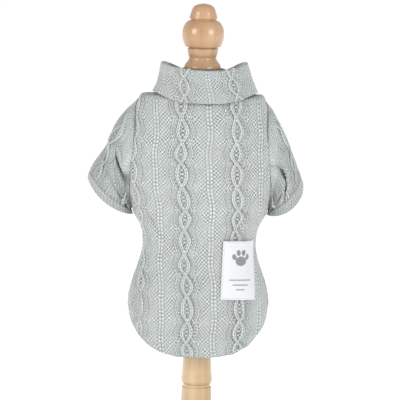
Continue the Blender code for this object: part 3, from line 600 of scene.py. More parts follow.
# ---- finishes
class Graph:
    """A material's nodes, added and joined by short calls."""

    def __init__(self, name: str) -> None:
        """Start a material with a Principled shader joined to its output.

        Args:
            name: the material's name.
        """
        self.material = bpy.data.materials.new(name)
        self.material.use_nodes = True
        self.tree = self.material.node_tree
        self.shader = self.tree.nodes["Principled BSDF"]

    def join(self, value: object, socket: bpy.types.NodeSocket) -> None:
        """Join an output to a socket, or set the socket to a plain value.

        Args:
            value: an output, a plain value or None.
            socket: where it goes.
        """
        if isinstance(value, bpy.types.NodeSocket):
            self.tree.links.new(value, socket)
        elif value is not None:
            socket.default_value = value

    def node(self, kind: str, inputs: dict[Key, object], output: Key = 0, **settings: object) -> object:
        """Add a node and join its inputs.

        Args:
            kind: the node's type.
            inputs: a value or an output for each socket, by its name or number.
            output: the output that is wanted.
            settings: the node's own properties.

        Returns:
            That output.
        """
        made = self.tree.nodes.new(kind)
        for name, value in settings.items():
            setattr(made, name, value)
        for key, value in inputs.items():
            self.join(value, made.inputs[key])
        return made.outputs[output]

    def math(self, operation: str, a: object, b: object = None, c: object = None) -> object:
        """What a Math node works out from its inputs."""
        return self.node("ShaderNodeMath", {0: a, 1: b, 2: c}, operation=operation)

    def held(self, a: object) -> object:
        """A value held between 0 and 1."""
        return self.node("ShaderNodeClamp", {0: a})

    def mix(self, share: object, a: object, b: object) -> object:
        """A colour mixed from a to b."""
        return self.node("ShaderNodeMix", {0: share, 6: a, 7: b}, 2, data_type="RGBA")

    def map_place(self, name: str) -> tuple[object, object]:
        """The two coordinates of a UV map."""
        split = self.node("ShaderNodeSeparateXYZ", {0: self.node("ShaderNodeUVMap", {}, uv_map=name)}).node
        return split.outputs[0], split.outputs[1]

    def object_place(self, scale: Row) -> object:
        """Object coordinates, scaled by a factor for each axis."""
        place = self.node("ShaderNodeTexCoord", {}, "Object")
        return self.node("ShaderNodeMapping", {"Vector": place, "Scale": scale})

    def noise(self, place: object, scale: float, detail: float = 2.0) -> object:
        """The value of a Noise texture."""
        return self.node("ShaderNodeTexNoise", {"Vector": place, "Scale": scale, "Detail": detail}, "Fac")

    def attribute(self, name: str) -> object:
        """The value of a point attribute."""
        return self.node("ShaderNodeAttribute", {}, "Fac", attribute_name=name)

    def bump(self, height: object, distance: float) -> None:
        """Join a height from 0 to 1 to the shader's normal, with its full size in metres."""
        inputs = {"Strength": 1.0, "Distance": distance, "Height": height}
        self.join(self.node("ShaderNodeBump", inputs), self.shader.inputs["Normal"])

    def finish(self, colour: object, **values: float) -> Material:
        """Set the shader's colour and its constant values.

        Args:
            colour: the base colour.
            values: more sockets, by name with _ for a space.

        Returns:
            The material.
        """
        self.join(colour, self.shader.inputs["Base Color"])
        for name, value in values.items():
            self.shader.inputs[name.replace("_", " ")].default_value = value
        return self.material


@dataclass(frozen=True)
class KnitFinish:
    """Soft matte yarn in V stitches or seed stitches, with painted light on the loops and painted shade
    between them.

    Attributes:
        loop, grey, between: the loops' two tones, and the painted shade between them.
        wide, tall, slope, seed: sizes of a V stitch, slant of its legs and size of a seed stitch.
        depth, fuzz: height of a stitch in metres, and the fibres' against it.
        quiet, patches: contrast everywhere, and more in patches.
        level, shade: the middle tone, and how much the painted shade value darkens the colour.
    """

    name: str = "sage_knit"
    loop: Row = (0.740, 0.796, 0.772, 1.0)
    between: Row = (0.120, 0.155, 0.148, 1.0)
    grey: Row = (0.730, 0.735, 0.745, 1.0)
    wide: float = 4.4
    tall: float = 3.5
    seed: float = 2.1
    slope: float = 1.1
    depth: float = 0.0012
    fuzz: float = 0.35
    quiet: float = 0.16
    patches: float = 0.95
    level: float = 0.72
    shade: float = 0.55

    def stitches(self, graph: Graph, u: object, v: object) -> object:
        """Height of V stitches: two arched legs that slant up from each column's middle.

        Args:
            graph: the material's nodes.
            u, v: the map's coordinates, in mm.

        Returns:
            The height, from 0 to 1.
        """
        column_share = graph.math("FRACT", graph.math("DIVIDE", u, self.wide))
        away = graph.math("ABSOLUTE", graph.math("SUBTRACT", column_share, 0.5))
        slanted = graph.math("MULTIPLY_ADD", away, self.slope, graph.math("DIVIDE", v, self.tall))
        leg = graph.math("SINE", graph.math("MULTIPLY", graph.math("FRACT", slanted), math.pi))
        arch = graph.math("POWER", graph.math("SINE", graph.math("MULTIPLY", away, 2 * math.pi)), 0.6)
        return graph.math("MULTIPLY", arch, graph.math("MULTIPLY_ADD", leg, 0.6, 0.4))

    def seeds(self, graph: Graph, u: object, v: object) -> object:
        """Height of seed stitches: a chequer of round bumps, the product of two cosines.

        Args:
            graph: the material's nodes.
            u, v: the map's coordinates, in mm.

        Returns:
            The height, from 0 to 1.
        """
        across = graph.math("COSINE", graph.math("MULTIPLY", u, math.pi / self.seed))
        along = graph.math("COSINE", graph.math("MULTIPLY", v, math.pi / self.seed))
        chequer = graph.math("MULTIPLY_ADD", graph.math("MULTIPLY", across, along), 0.5, 0.5)
        return graph.math("POWER", chequer, 1.1)

    def build(self) -> Material:
        """The finish's material.

        Returns:
            The material.
        """
        graph = Graph(self.name)
        u, v = graph.map_place("knit")
        kind = graph.attribute("kind")
        place = graph.object_place((1.0, 1.0, 1.0))
        wander = graph.math("SUBTRACT", graph.noise(place, 230.0), 0.5)
        u = graph.math("MULTIPLY_ADD", wander, 0.8, u)
        plain, seed = self.stitches(graph, u, v), self.seeds(graph, u, v)
        share = graph.math("SUBTRACT", plain, seed)
        height = graph.math("MULTIPLY_ADD", share, kind, seed)
        fibres = graph.math("SUBTRACT", graph.noise(place, 2600.0, 3.0), 0.5)
        raised = graph.math("MULTIPLY_ADD", fibres, self.fuzz, height)
        graph.bump(raised, self.depth)
        strong = graph.held(graph.math("MULTIPLY_ADD", graph.noise(place, 66.0), 3.4, -1.2))
        contrast = graph.math("MULTIPLY_ADD", strong, self.patches, self.quiet)
        contrast = graph.math("MULTIPLY", contrast, graph.math("MULTIPLY_ADD", kind, 0.95, 0.85))
        # Painted light and shade on the stitches: the higher a stitch, the lighter its colour.
        centred = graph.math("SUBTRACT", height, 0.5)
        lit = graph.math("MULTIPLY_ADD", centred, contrast, self.level)
        lit = graph.math("MULTIPLY_ADD", fibres, self.fuzz, lit)
        # Painted shade from the painted shade value in recesses and creases, and painted light where that
        # value is negative.
        lit = graph.math("MULTIPLY_ADD", graph.attribute("painted_shade"), -self.shade, lit)
        heather = graph.held(graph.math("MULTIPLY_ADD", graph.noise(place, 24.0), 3.0, -1.0))
        loops = graph.mix(heather, self.loop, self.grey)
        # The dark between colour is painted shade between the loops.
        colour = graph.mix(graph.held(lit), self.between, loops)
        return graph.finish(colour, Roughness=0.92, Sheen_Weight=0.25, Sheen_Roughness=0.5)


@dataclass(frozen=True)
class PatchFinish:
    """A smooth woven label with a printed grey mark and a sewn edge."""

    name: str = "woven_label"
    cloth: Row = (0.86, 0.88, 0.90, 1.0)
    ink: Row = (0.12, 0.14, 0.155, 1.0)
    thread: Row = (0.62, 0.65, 0.68, 1.0)
    pitch: float = 0.35

    def build(self) -> Material:
        """The finish's material: fine cross threads, ink by attribute and a sewn line by attribute.

        Returns:
            The material.
        """
        graph = Graph(self.name)
        u, v = graph.map_place("knit")
        across = graph.math("SINE", graph.math("MULTIPLY", u, 2 * math.pi / self.pitch))
        along = graph.math("SINE", graph.math("MULTIPLY", v, 2 * math.pi / self.pitch))
        weave = graph.math("MULTIPLY", across, along)
        colour = graph.mix(graph.attribute("thread"), self.cloth, self.thread)
        speckled = graph.math("MULTIPLY_ADD", weave, 0.12, 0.88)
        inked = graph.math("MULTIPLY", graph.attribute("ink"), speckled)
        colour = graph.mix(inked, colour, self.ink)
        graph.bump(weave, 0.00008)
        return graph.finish(colour, Roughness=0.55, Sheen_Weight=0.1)


@dataclass(frozen=True)
class JerseyFinish:
    """Fine stretched jersey in a dark shade, with faint heathering."""

    name: str
    light: Row = (0.060, 0.068, 0.082, 1.0)
    dark: Row = (0.024, 0.027, 0.034, 1.0)

    def build(self) -> Material:
        """The finish's material: fine lengthwise ribs on Object coordinates.

        Returns:
            The material.
        """
        graph = Graph(self.name)
        place = graph.object_place((1.0, 1.0, 0.35))
        heather = graph.noise(place, 900.0, 3.0)
        fine = graph.noise(graph.object_place((1.0, 1.0, 1.0)), 2200.0, 2.0)
        graph.bump(graph.math("ADD", heather, fine), 0.0002)
        colour = graph.mix(graph.held(graph.math("MULTIPLY_ADD", heather, 2.4, -0.7)), self.dark, self.light)
        return graph.finish(colour, Roughness=0.85, Sheen_Weight=0.3, Sheen_Roughness=0.4)


@dataclass(frozen=True)
class BeechFinish:
    """Varnished beech: fine upright grain, short darker flecks, a clear satin coat and painted shade in the
    turned grooves.
    """

    name: str
    pale: Row = (0.660, 0.430, 0.252, 1.0)
    tan: Row = (0.510, 0.292, 0.150, 1.0)
    fleck: Row = (0.400, 0.205, 0.095, 1.0)
    deep: Row = (0.230, 0.105, 0.045, 1.0)
    grain: Row = (1.0, 1.0, 0.07)
    coat: float = 0.6
    rough: float = 0.24

    def build(self) -> Material:
        """The finish's material, on Object coordinates stretched along the grain.

        Returns:
            The material.
        """
        graph = Graph(self.name)
        place = graph.object_place(self.grain)
        broad = graph.noise(place, 55.0, 4.0)
        fine = graph.noise(place, 420.0, 3.0)
        flecks = graph.noise(graph.object_place((1.0, 1.0, 0.22)), 900.0, 1.0)
        shade = graph.held(graph.math("MULTIPLY_ADD", broad, 2.6, -0.85))
        shade = graph.held(graph.math("MULTIPLY_ADD", fine, 0.45, graph.math("SUBTRACT", shade, 0.22)))
        colour = graph.mix(shade, self.pale, self.tan)
        spots = graph.held(graph.math("MULTIPLY_ADD", flecks, 9.0, -5.9))
        colour = graph.mix(graph.math("MULTIPLY", spots, 0.35), colour, self.fleck)
        # Painted shade in the turned grooves, by their depth.
        colour = graph.mix(graph.math("MULTIPLY", graph.attribute("groove"), 0.75), colour, self.deep)
        graph.bump(fine, 0.00006)
        roughness = graph.math("MULTIPLY_ADD", fine, 0.16, self.rough)
        graph.join(roughness, graph.shader.inputs["Roughness"])
        return graph.finish(colour, Coat_Weight=self.coat, Coat_Roughness=0.2)


@dataclass(frozen=True)
class PaperFinish:
    """White studio paper that is lit from behind a little, so that it stays white far away."""

    name: str = "studio_paper"
    colour: Row = (0.95, 0.95, 0.95, 1.0)
    glow: float = 0.50

    def build(self) -> Material:
        """The finish's material.

        Returns:
            The material.
        """
        graph = Graph(self.name)
        graph.shader.inputs["Emission Color"].default_value = self.colour
        return graph.finish(self.colour, Roughness=1.0, Emission_Strength=self.glow)


# ---- meshes
def quads(rows: int, columns: int, first: int, closed: bool) -> Array:
    """Faces over a grid of points numbered by rows from first; closed joins the last column.

    Args:
        rows, columns: the grid's size.
        first: the first point's number.
        closed: True where the grid closes round.

    Returns:
        A row of four point numbers for each face.
    """
    numbers = first + np.arange(rows * columns).reshape(rows, columns)
    right = np.roll(numbers, -1, axis=1) if closed else numbers[:, 1:]
    left = numbers if closed else numbers[:, :-1]
    return np.stack([left[:-1], right[:-1], right[1:], left[1:]], axis=-1).reshape(-1, 4)


def strip(fine: Array, coarse: Array, closed: bool) -> Array:
    """Triangles between a fine border and a coarse one.

    Each coarse step faces the same number of fine ones: a fan from its start, one triangle over
    the whole step and a fan from its end.

    Args:
        fine, coarse: the point numbers of both borders.
        closed: True where the borders are rings.

    Returns:
        A row of three point numbers for each triangle.
    """
    steps = len(coarse) - (not closed)
    share = (len(fine) - (not closed)) // steps
    place = np.arange(steps * share)
    which, part = place // share, place % share
    half = share // 2
    apex = coarse[(which + (part >= half)) % len(coarse)]
    fans = np.stack([apex, fine[(place + 1) % len(fine)], fine[place]], axis=-1)
    each = np.arange(steps)
    middle = fine[(each * share + half) % len(fine)]
    spans = np.stack([coarse[each], coarse[(each + 1) % len(coarse)], middle], axis=-1)
    return np.concatenate([fans, spans])


@dataclass
class Wall:
    """A cloth wall between a fine outer grid and a coarser inner one, joined along each border.

    Attributes:
        outer: grid of points of the outer face, in mm.
        inner: coarser grid of the inner face.
        closed: True where the last column joins the first.
        place: the outer face's sideways and lengthwise places in the stitches, with one more
            column than the points have where the wall is closed.
        inner_place: the same for the inner face.
        values: named point values of the outer face; the inner face takes the defaults.
        defaults: the inner face's value of each.
    """

    outer: Array
    inner: Array
    closed: bool
    place: Array
    inner_place: Array
    values: dict[str, Array]
    defaults: dict[str, float]

    def corner_places(self, grid: Array, place: Array) -> Array:
        """The four corners' map places of each quad, with no jump at a closed grid's seam.

        Args:
            grid: the points.
            place: their map places.

        Returns:
            A row for each corner.
        """
        if not self.closed:
            place = place[:, : grid.shape[1]]
        corners = [place[:-1, :-1], place[:-1, 1:], place[1:, 1:], place[1:, :-1]]
        return np.stack(corners, axis=2).reshape(-1, 2)

    def build(self, name: str, finish: Material) -> Piece:
        """The wall's mesh object, facing out, smooth, with its map and its point values.

        Args:
            name: the object's name.
            finish: its material.

        Returns:
            The linked object.
        """
        rows, columns = self.outer.shape[:2]
        inner_rows, inner_columns = self.inner.shape[:2]
        first = rows * columns
        number = np.arange(first).reshape(rows, columns)
        inside = first + np.arange(inner_rows * inner_columns).reshape(inner_rows, inner_columns)
        borders = [strip(number[0], inside[0], self.closed)]
        borders.append(strip(number[-1], inside[-1], self.closed)[:, ::-1])
        if not self.closed:
            borders.append(strip(number[:, 0], inside[:, 0], False)[:, ::-1])
            borders.append(strip(number[:, -1], inside[:, -1], False))
        rim = np.concatenate(borders)
        faces = quads(rows, columns, 0, self.closed).tolist()
        faces += quads(inner_rows, inner_columns, first, self.closed)[:, ::-1].tolist()
        faces += rim.tolist()
        points = np.concatenate([self.outer.reshape(-1, 3), self.inner.reshape(-1, 3)])
        flat = self.place[:, :columns].reshape(-1, 2)
        inner_flat = self.inner_place[:, :inner_columns].reshape(-1, 2)
        by_point = np.concatenate([flat, inner_flat])
        inner_corners = self.corner_places(self.inner, self.inner_place).reshape(-1, 4, 2)
        outer_corners = self.corner_places(self.outer, self.place)
        inner_corners = inner_corners[:, ::-1].reshape(-1, 2)
        maps = np.concatenate([outer_corners, inner_corners, by_point[rim.reshape(-1)]])
        values = {
            key: np.concatenate([np.ravel(value), np.full(inside.size, self.defaults[key])])
            for key, value in self.values.items()
        }
        return mesh_object(name, points, faces, finish, maps, values)


def mesh_object(
    name: str,
    points: Array,
    faces: list[list[int]],
    finish: Material,
    maps: Optional[Array] = None,
    values: Optional[dict[str, Array]] = None,
) -> Piece:
    """A smooth mesh object from points in mm, turned to face out.

    Args:
        name: the object's name.
        points: its points, in mm.
        faces: its faces, as point numbers.
        finish: its material.
        maps: a place in the stitches for each face corner, or None.
        values: named values for each point, or None.

    Returns:
        The linked object.
    """
    mesh = bpy.data.meshes.new(name)
    mesh.from_pydata((np.asarray(points) * MM).tolist(), [], faces)
    if maps is not None:
        layer = mesh.uv_layers.new(name="knit")
        layer.uv.foreach_set("vector", np.ascontiguousarray(maps, np.float32).ravel())
    for key, value in (values or {}).items():
        made = mesh.attributes.new(key, "FLOAT", "POINT")
        made.data.foreach_set("value", np.ascontiguousarray(value, np.float32))
    mesh.materials.append(finish)
    if signed_volume(mesh) < 0:
        mesh.flip_normals()
    mesh.shade_smooth()
    made_object = bpy.data.objects.new(name, mesh)
    bpy.context.scene.collection.objects.link(made_object)
    return made_object


def signed_volume(mesh: bpy.types.Mesh) -> float:
    """Volume inside a closed mesh by the divergence theorem, negative where it faces inwards.

    Args:
        mesh: the closed mesh.

    Returns:
        The volume.
    """
    mesh.calc_loop_triangles()
    corners = np.empty(len(mesh.loop_triangles) * 3, np.int32)
    mesh.loop_triangles.foreach_get("vertices", corners)
    points = np.empty(len(mesh.vertices) * 3, np.float32)
    mesh.vertices.foreach_get("co", points)
    a, b, c = points.reshape(-1, 3)[corners].reshape(-1, 3, 3).astype(float).transpose(1, 0, 2)
    return float((a * np.cross(b, c)).sum() / 6)


def loft_object(name: str, rings: Array, finish: Material, groove: Optional[Array] = None) -> Piece:
    """A closed solid through rings of points, with both ends closed by a fan to their middle.

    Args:
        name: the object's name.
        rings: its rings of points, in mm.
        finish: its material.
        groove: how deep each ring lies in a groove, which the beech finish darkens as painted shade, or
            None.

    Returns:
        The linked object.
    """
    rows, columns = rings.shape[:2]
    points = np.concatenate([rings.reshape(-1, 3), [rings[0].mean(axis=0), rings[-1].mean(axis=0)]])
    low = np.arange(columns)
    high = (rows - 1) * columns + low
    low_fan = np.stack([np.roll(low, -1), low, np.full(columns, rows * columns)], axis=-1)
    high_fan = np.stack([high, np.roll(high, -1), np.full(columns, rows * columns + 1)], axis=-1)
    faces = quads(rows, columns, 0, True).tolist() + low_fan.tolist() + high_fan.tolist()
    values = None if groove is None else {"groove": np.append(np.repeat(groove, columns), [0.0, 0.0])}
    return mesh_object(name, points, faces, finish, values=values)


def oval(turn: Array, width: Array, back: Array, belly: Array, centre: Array, z: Array) -> Array:
    """Points of an oval ring round the neck, whose depth differs at the back and the belly.

    Args:
        turn, z: angle round it, 0 at the middle of the back, and height.
        width, back, belly: its half sizes.
        centre: its sideways shift.

    Returns:
        The points.
    """
    depth = np.where(np.cos(turn) > 0, back, belly)
    x = centre + width * np.sin(turn)
    return np.stack(np.broadcast_arrays(x, -depth * np.cos(turn), z), axis=-1)


def surface_area(grid: Array, closed: bool) -> float:
    """Area of a grid of points, as the sum of its quads' half cross products of diagonals.

    Args:
        grid: the points.
        closed: True where it closes round.

    Returns:
        The area.
    """
    if closed:
        grid = np.concatenate([grid, grid[:, :1]], axis=1)
    one = grid[1:, 1:] - grid[:-1, :-1]
    two = grid[1:, :-1] - grid[:-1, 1:]
    return float(np.linalg.norm(np.cross(one, two), axis=-1).sum() / 2)


def rounded(from_edge: Array, radius: float) -> Array:
    """How far a wall's face falls away near an edge, along a quarter circle."""
    near = np.clip(radius - from_edge, 0, radius)
    return radius - np.sqrt(radius**2 - near**2)


@dataclass(frozen=True)
class Cut:
    """The flat piece that a sheet was cut to, in mm and square mm."""

    width: float
    length: float
    area: float


def fit_piece(piece: Piece, node: str) -> Piece:
    """Let a piece stand for a node: it rides on the one body, and the node's own part is hidden.

    Args:
        piece: the piece.
        node: the node.

    Returns:
        The same piece.
    """
    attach(piece, "root")
    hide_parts(node)
    LOG.info("%s stands for %s, %d faces", piece.name, node, len(piece.data.polygons))
    return piece


def sew(
    wall: Wall, node: str, finish: Material
) -> Piece:
    """Build a wall as the sheet that stands for a node, named after it.

    Args:
        wall: the cloth.
        node: the node.
        finish: its material.

    Returns:
        The linked object.
    """
    piece = wall.build(f"{node}_cloth", finish)
    return fit_piece(piece, node)


# ---- the sweater's panels
@dataclass
class Panel:
    """A body panel: a grid over the torso between two side seams, cut out at the armholes.

    Attributes:
        facing: the turn of its middle, 0 for the back and pi for the belly.
        hem, step, columns: height of the first row, spacing of the rows and steps across.
        share: fine steps for each coarse step of the inner face.
        creases: small folds of this panel alone.
        hem_fade: height above the hem over which its small waves fade.
        half_way: about half the panel's width, for the easing near its side edges.
        crease_shade, seam_light: how much painted shade darkens the creases and painted light lightens the
            armholes' edges.
    """

    body: TorsoShape
    knit: KnitPattern
    node: str
    facing: float
    hem: float
    step: float
    columns: int
    creases: tuple[Fold, ...]
    share: int = 4
    cloth: float = 3.0
    seam: float = 0.3
    rim: float = 1.3
    hem_ripple: float = 0.8
    hem_waves: Row = (17, 29, 43)
    hem_fade: float = 14.0
    drape: float = 0.35
    drape_waves: Row = (37, 61, 23)
    half_way: float = 80.0
    crease_shade: float = 0.5
    seam_light: float = 0.5

    def levels(self) -> Array:
        """Levels of the rows, with a row at the hem, at the armhole's foot and top and at the neck.

        Returns:
            The levels, from the hem up.
        """
        marks = [self.body.level_at(self.hem)]
        marks += [self.body.level_at(self.body.armhole_foot), self.body.level_at(self.body.armhole_top)]
        marks.append(self.body.level[-1])
        runs = []
        for low, high in zip(marks[:-1], marks[1:]):
            steps = self.share * max(1, round((high - low) / self.step / self.share))
            runs.append(np.linspace(low, high, steps, endpoint=False))
        return np.concatenate(runs + [[marks[-1]]])

    def grid(self) -> tuple[Array, Array, Array, Array]:
        """Turn, level, sideways place and distance from the side edge of every point.

        Returns:
            The four grids.
        """
        levels = self.levels()
        half = QUARTER - self.body.armhole_turn(levels)
        share = np.linspace(-1, 1, self.columns + 1)
        edge = self.body.across_at(half, levels) - self.seam / 2
        across = edge[:, None] * share
        if self.facing == 0:
            turn = self.body.turn_at(across, levels[:, None])
        else:
            half = half - self.seam / 2 / self.body.read("belly_depth", levels)
            turn = self.facing + half[:, None] * share
        level = self.body.hem_shaped(levels[:, None], turn, self.hem)
        hem_level = self.body.level_at(self.body.hem_z(turn))
        near_hem = np.exp(-np.clip(level - hem_level, 0, None) / self.hem_fade)
        waves = ripple(across, self.hem_waves, 1.3)
        level = level + self.hem_ripple * near_hem * waves
        from_hem = level - hem_level - self.hem_ripple * waves
        from_edge = np.minimum((1 - np.abs(share)) * edge[:, None], np.clip(from_hem, 0, None))
        return turn, level, across, from_edge

    def relief(
        self, turn: Array, level: Array, across: Array, from_edge: Array
    ) -> tuple[Array, Array, Array]:
        """Height of the cloth's folds, of the knitting on them, and of the creases alone.

        Args:
            turn, level, across: the place on the body.
            from_edge: distance from the edge.

        Returns:
            The three heights.
        """
        z = self.body.read("z", level)
        side = (1 - np.abs(np.linspace(-1, 1, self.columns + 1))) * self.half_way
        folds = self.body.fold_height(turn, z) * ramp(side, 0.0, 12.0)
        creased = sum(crease.height(across, z) for crease in self.creases) * ramp(side, 0.0, 6.0)
        folds = folds + creased + self.body.shoulder_height(turn, level)
        folds = folds + self.drape * ripple(across + 0.25 * z, self.drape_waves, 0.7) * ramp(side, 0, 12)
        raised = self.knit.height(across, z) * self.body.relief_share(turn, level, from_edge)
        return folds, raised, creased

    def build(self, finish: Material) -> Piece:
        """The panel's mesh.

        Args:
            finish: its material.

        Returns:
            The linked object.
        """
        turn, level, across, from_edge = self.grid()
        folds, raised, creased = self.relief(turn, level, across, from_edge)
        fall = rounded(from_edge, self.rim)
        outer = self.body.point(turn, level, folds + raised - fall)
        every = slice(None, None, self.share)
        inner = self.body.point(turn[every, every], level[every, every], folds[every, every] - self.cloth)
        z = self.body.read("z", level)
        u, v, kind = self.knit.maps(across, z)
        # Painted shade in the knitting's recesses and in the creases.
        painted_shade = shade_in_hollows(raised, 6) + self.crease_shade * np.clip(-creased - 0.4, 0, 1.2)
        place = np.stack([u, v], axis=-1)
        inner_place = np.stack([across[every, every], z[every, every]], axis=-1)
        from_armhole = self.body.from_armhole(turn, level)
        # Painted light along the armholes' edges, against the shade where the sleeve meets the panel.
        painted_shade = painted_shade - self.seam_light * (1 - ramp(from_armhole, 0.5, 7.0))
        values = {"kind": kind, "painted_shade": painted_shade}
        # The inner face takes a little painted shade.
        wall = Wall(outer, inner, False, place, inner_place, values, {"kind": 1.0, "painted_shade": 0.25})
        width = float(2 * (self.body.quarter_girth(level[:, 0])).max())
        length = float(level.max() - level.min())
        cut = Cut(width, length, surface_area(self.body.face(turn, level), False))
        return sew(wall, self.node, finish)


# ---- the sleeves
@dataclass
class Arm:
    """The rings of one arm, from tables of its outer line, under line and half depth."""

    side: Side
    body: TorsoShape
    rows: tuple[Row, ...]
    columns: tuple[str, ...] = ("top_out", "top_z", "under_out", "under_z", "half_depth", "shift", "bow")
    clear: float = 2.2

    def ring(self, share: Array, around: Array, out: Array) -> Array:
        """Points at a share of the arm and an angle round it.

        Each ring is an oval between the outer and the under line. Its flanks bow outwards along
        the arm by the squared sine of the angle.

        Args:
            share: share of the arm, 0 at the root.
            around: angle round it, 0 on top.
            out: distance outwards.

        Returns:
            The points.
        """
        knots = np.linspace(0, 1, len(self.rows))
        value = {name: smooth(knots, column(self.rows, self.columns, name), share) for name in self.columns}
        none = np.zeros_like(value["top_out"])
        top = np.stack([value["top_out"], none, value["top_z"]], axis=-1)
        under = np.stack([value["under_out"], none, value["under_z"]], axis=-1)
        reach = (top - under) / 2
        length = np.linalg.norm(reach, axis=-1, keepdims=True)
        way = reach / length
        outward = np.stack([way[..., 2], none, -way[..., 0]], axis=-1)
        middle = (top + under) / 2 + np.stack([none, value["shift"], none], axis=-1)
        cosine, sine = np.cos(around)[..., None], np.sin(around)[..., None]
        out = np.broadcast_to(out, np.broadcast(share, around).shape)[..., None]
        points = middle + (length + out) * cosine * way
        points = points - (value["half_depth"][..., None] + out) * sine * np.array([0.0, 1.0, 0.0])
        points = points + value["bow"][..., None] * sine**2 * outward
        return points * np.array([self.side.value, 1, 1])

    def off_body(self, points: Array) -> Array:
        """Points moved sideways where needed, so that they stay off the body's plain face.

        Args:
            points: the points.

        Returns:
            The moved points.
        """
        moved = points.copy()
        nearest = self.body.width_at(points) + self.clear
        moved[..., 0] = self.side.value * np.maximum(self.side.value * points[..., 0], nearest)
        return moved


def tube_normals(rings: Array) -> Array:
    """Outward unit normals of a tube, the cross product of its slopes along and round it.

    Args:
        rings: the tube's points, a row for each ring.

    Returns:
        The normals.
    """
    along = np.gradient(rings, axis=0)
    round_it = np.roll(rings, -1, axis=1) - np.roll(rings, 1, axis=1)
    normal = np.cross(along, round_it)
    normal /= np.maximum(np.linalg.norm(normal, axis=-1, keepdims=True), 1e-9)
    outward = rings - rings.mean(axis=1, keepdims=True)
    return normal * np.sign((normal * outward).sum())


def tube_places(rings: Array, stitches: int, wide: float) -> Array:
    """Stitch places on a tube: whole stitches round it, and the length along each line of points.

    Args:
        rings: the tube's points, a row for each ring.
        stitches: stitches round it.
        wide: a stitch's width.

    Returns:
        The places, with the closing column.
    """
    columns = rings.shape[1]
    u = np.linspace(0, stitches * wide, columns + 1)
    steps = np.linalg.norm(np.diff(rings, axis=0), axis=-1)
    v = np.concatenate([np.zeros((1, columns)), np.cumsum(steps, axis=0)])
    v = np.concatenate([v, v[:, :1]], axis=1)
    return np.stack([np.broadcast_to(u, v.shape), -v], axis=-1)


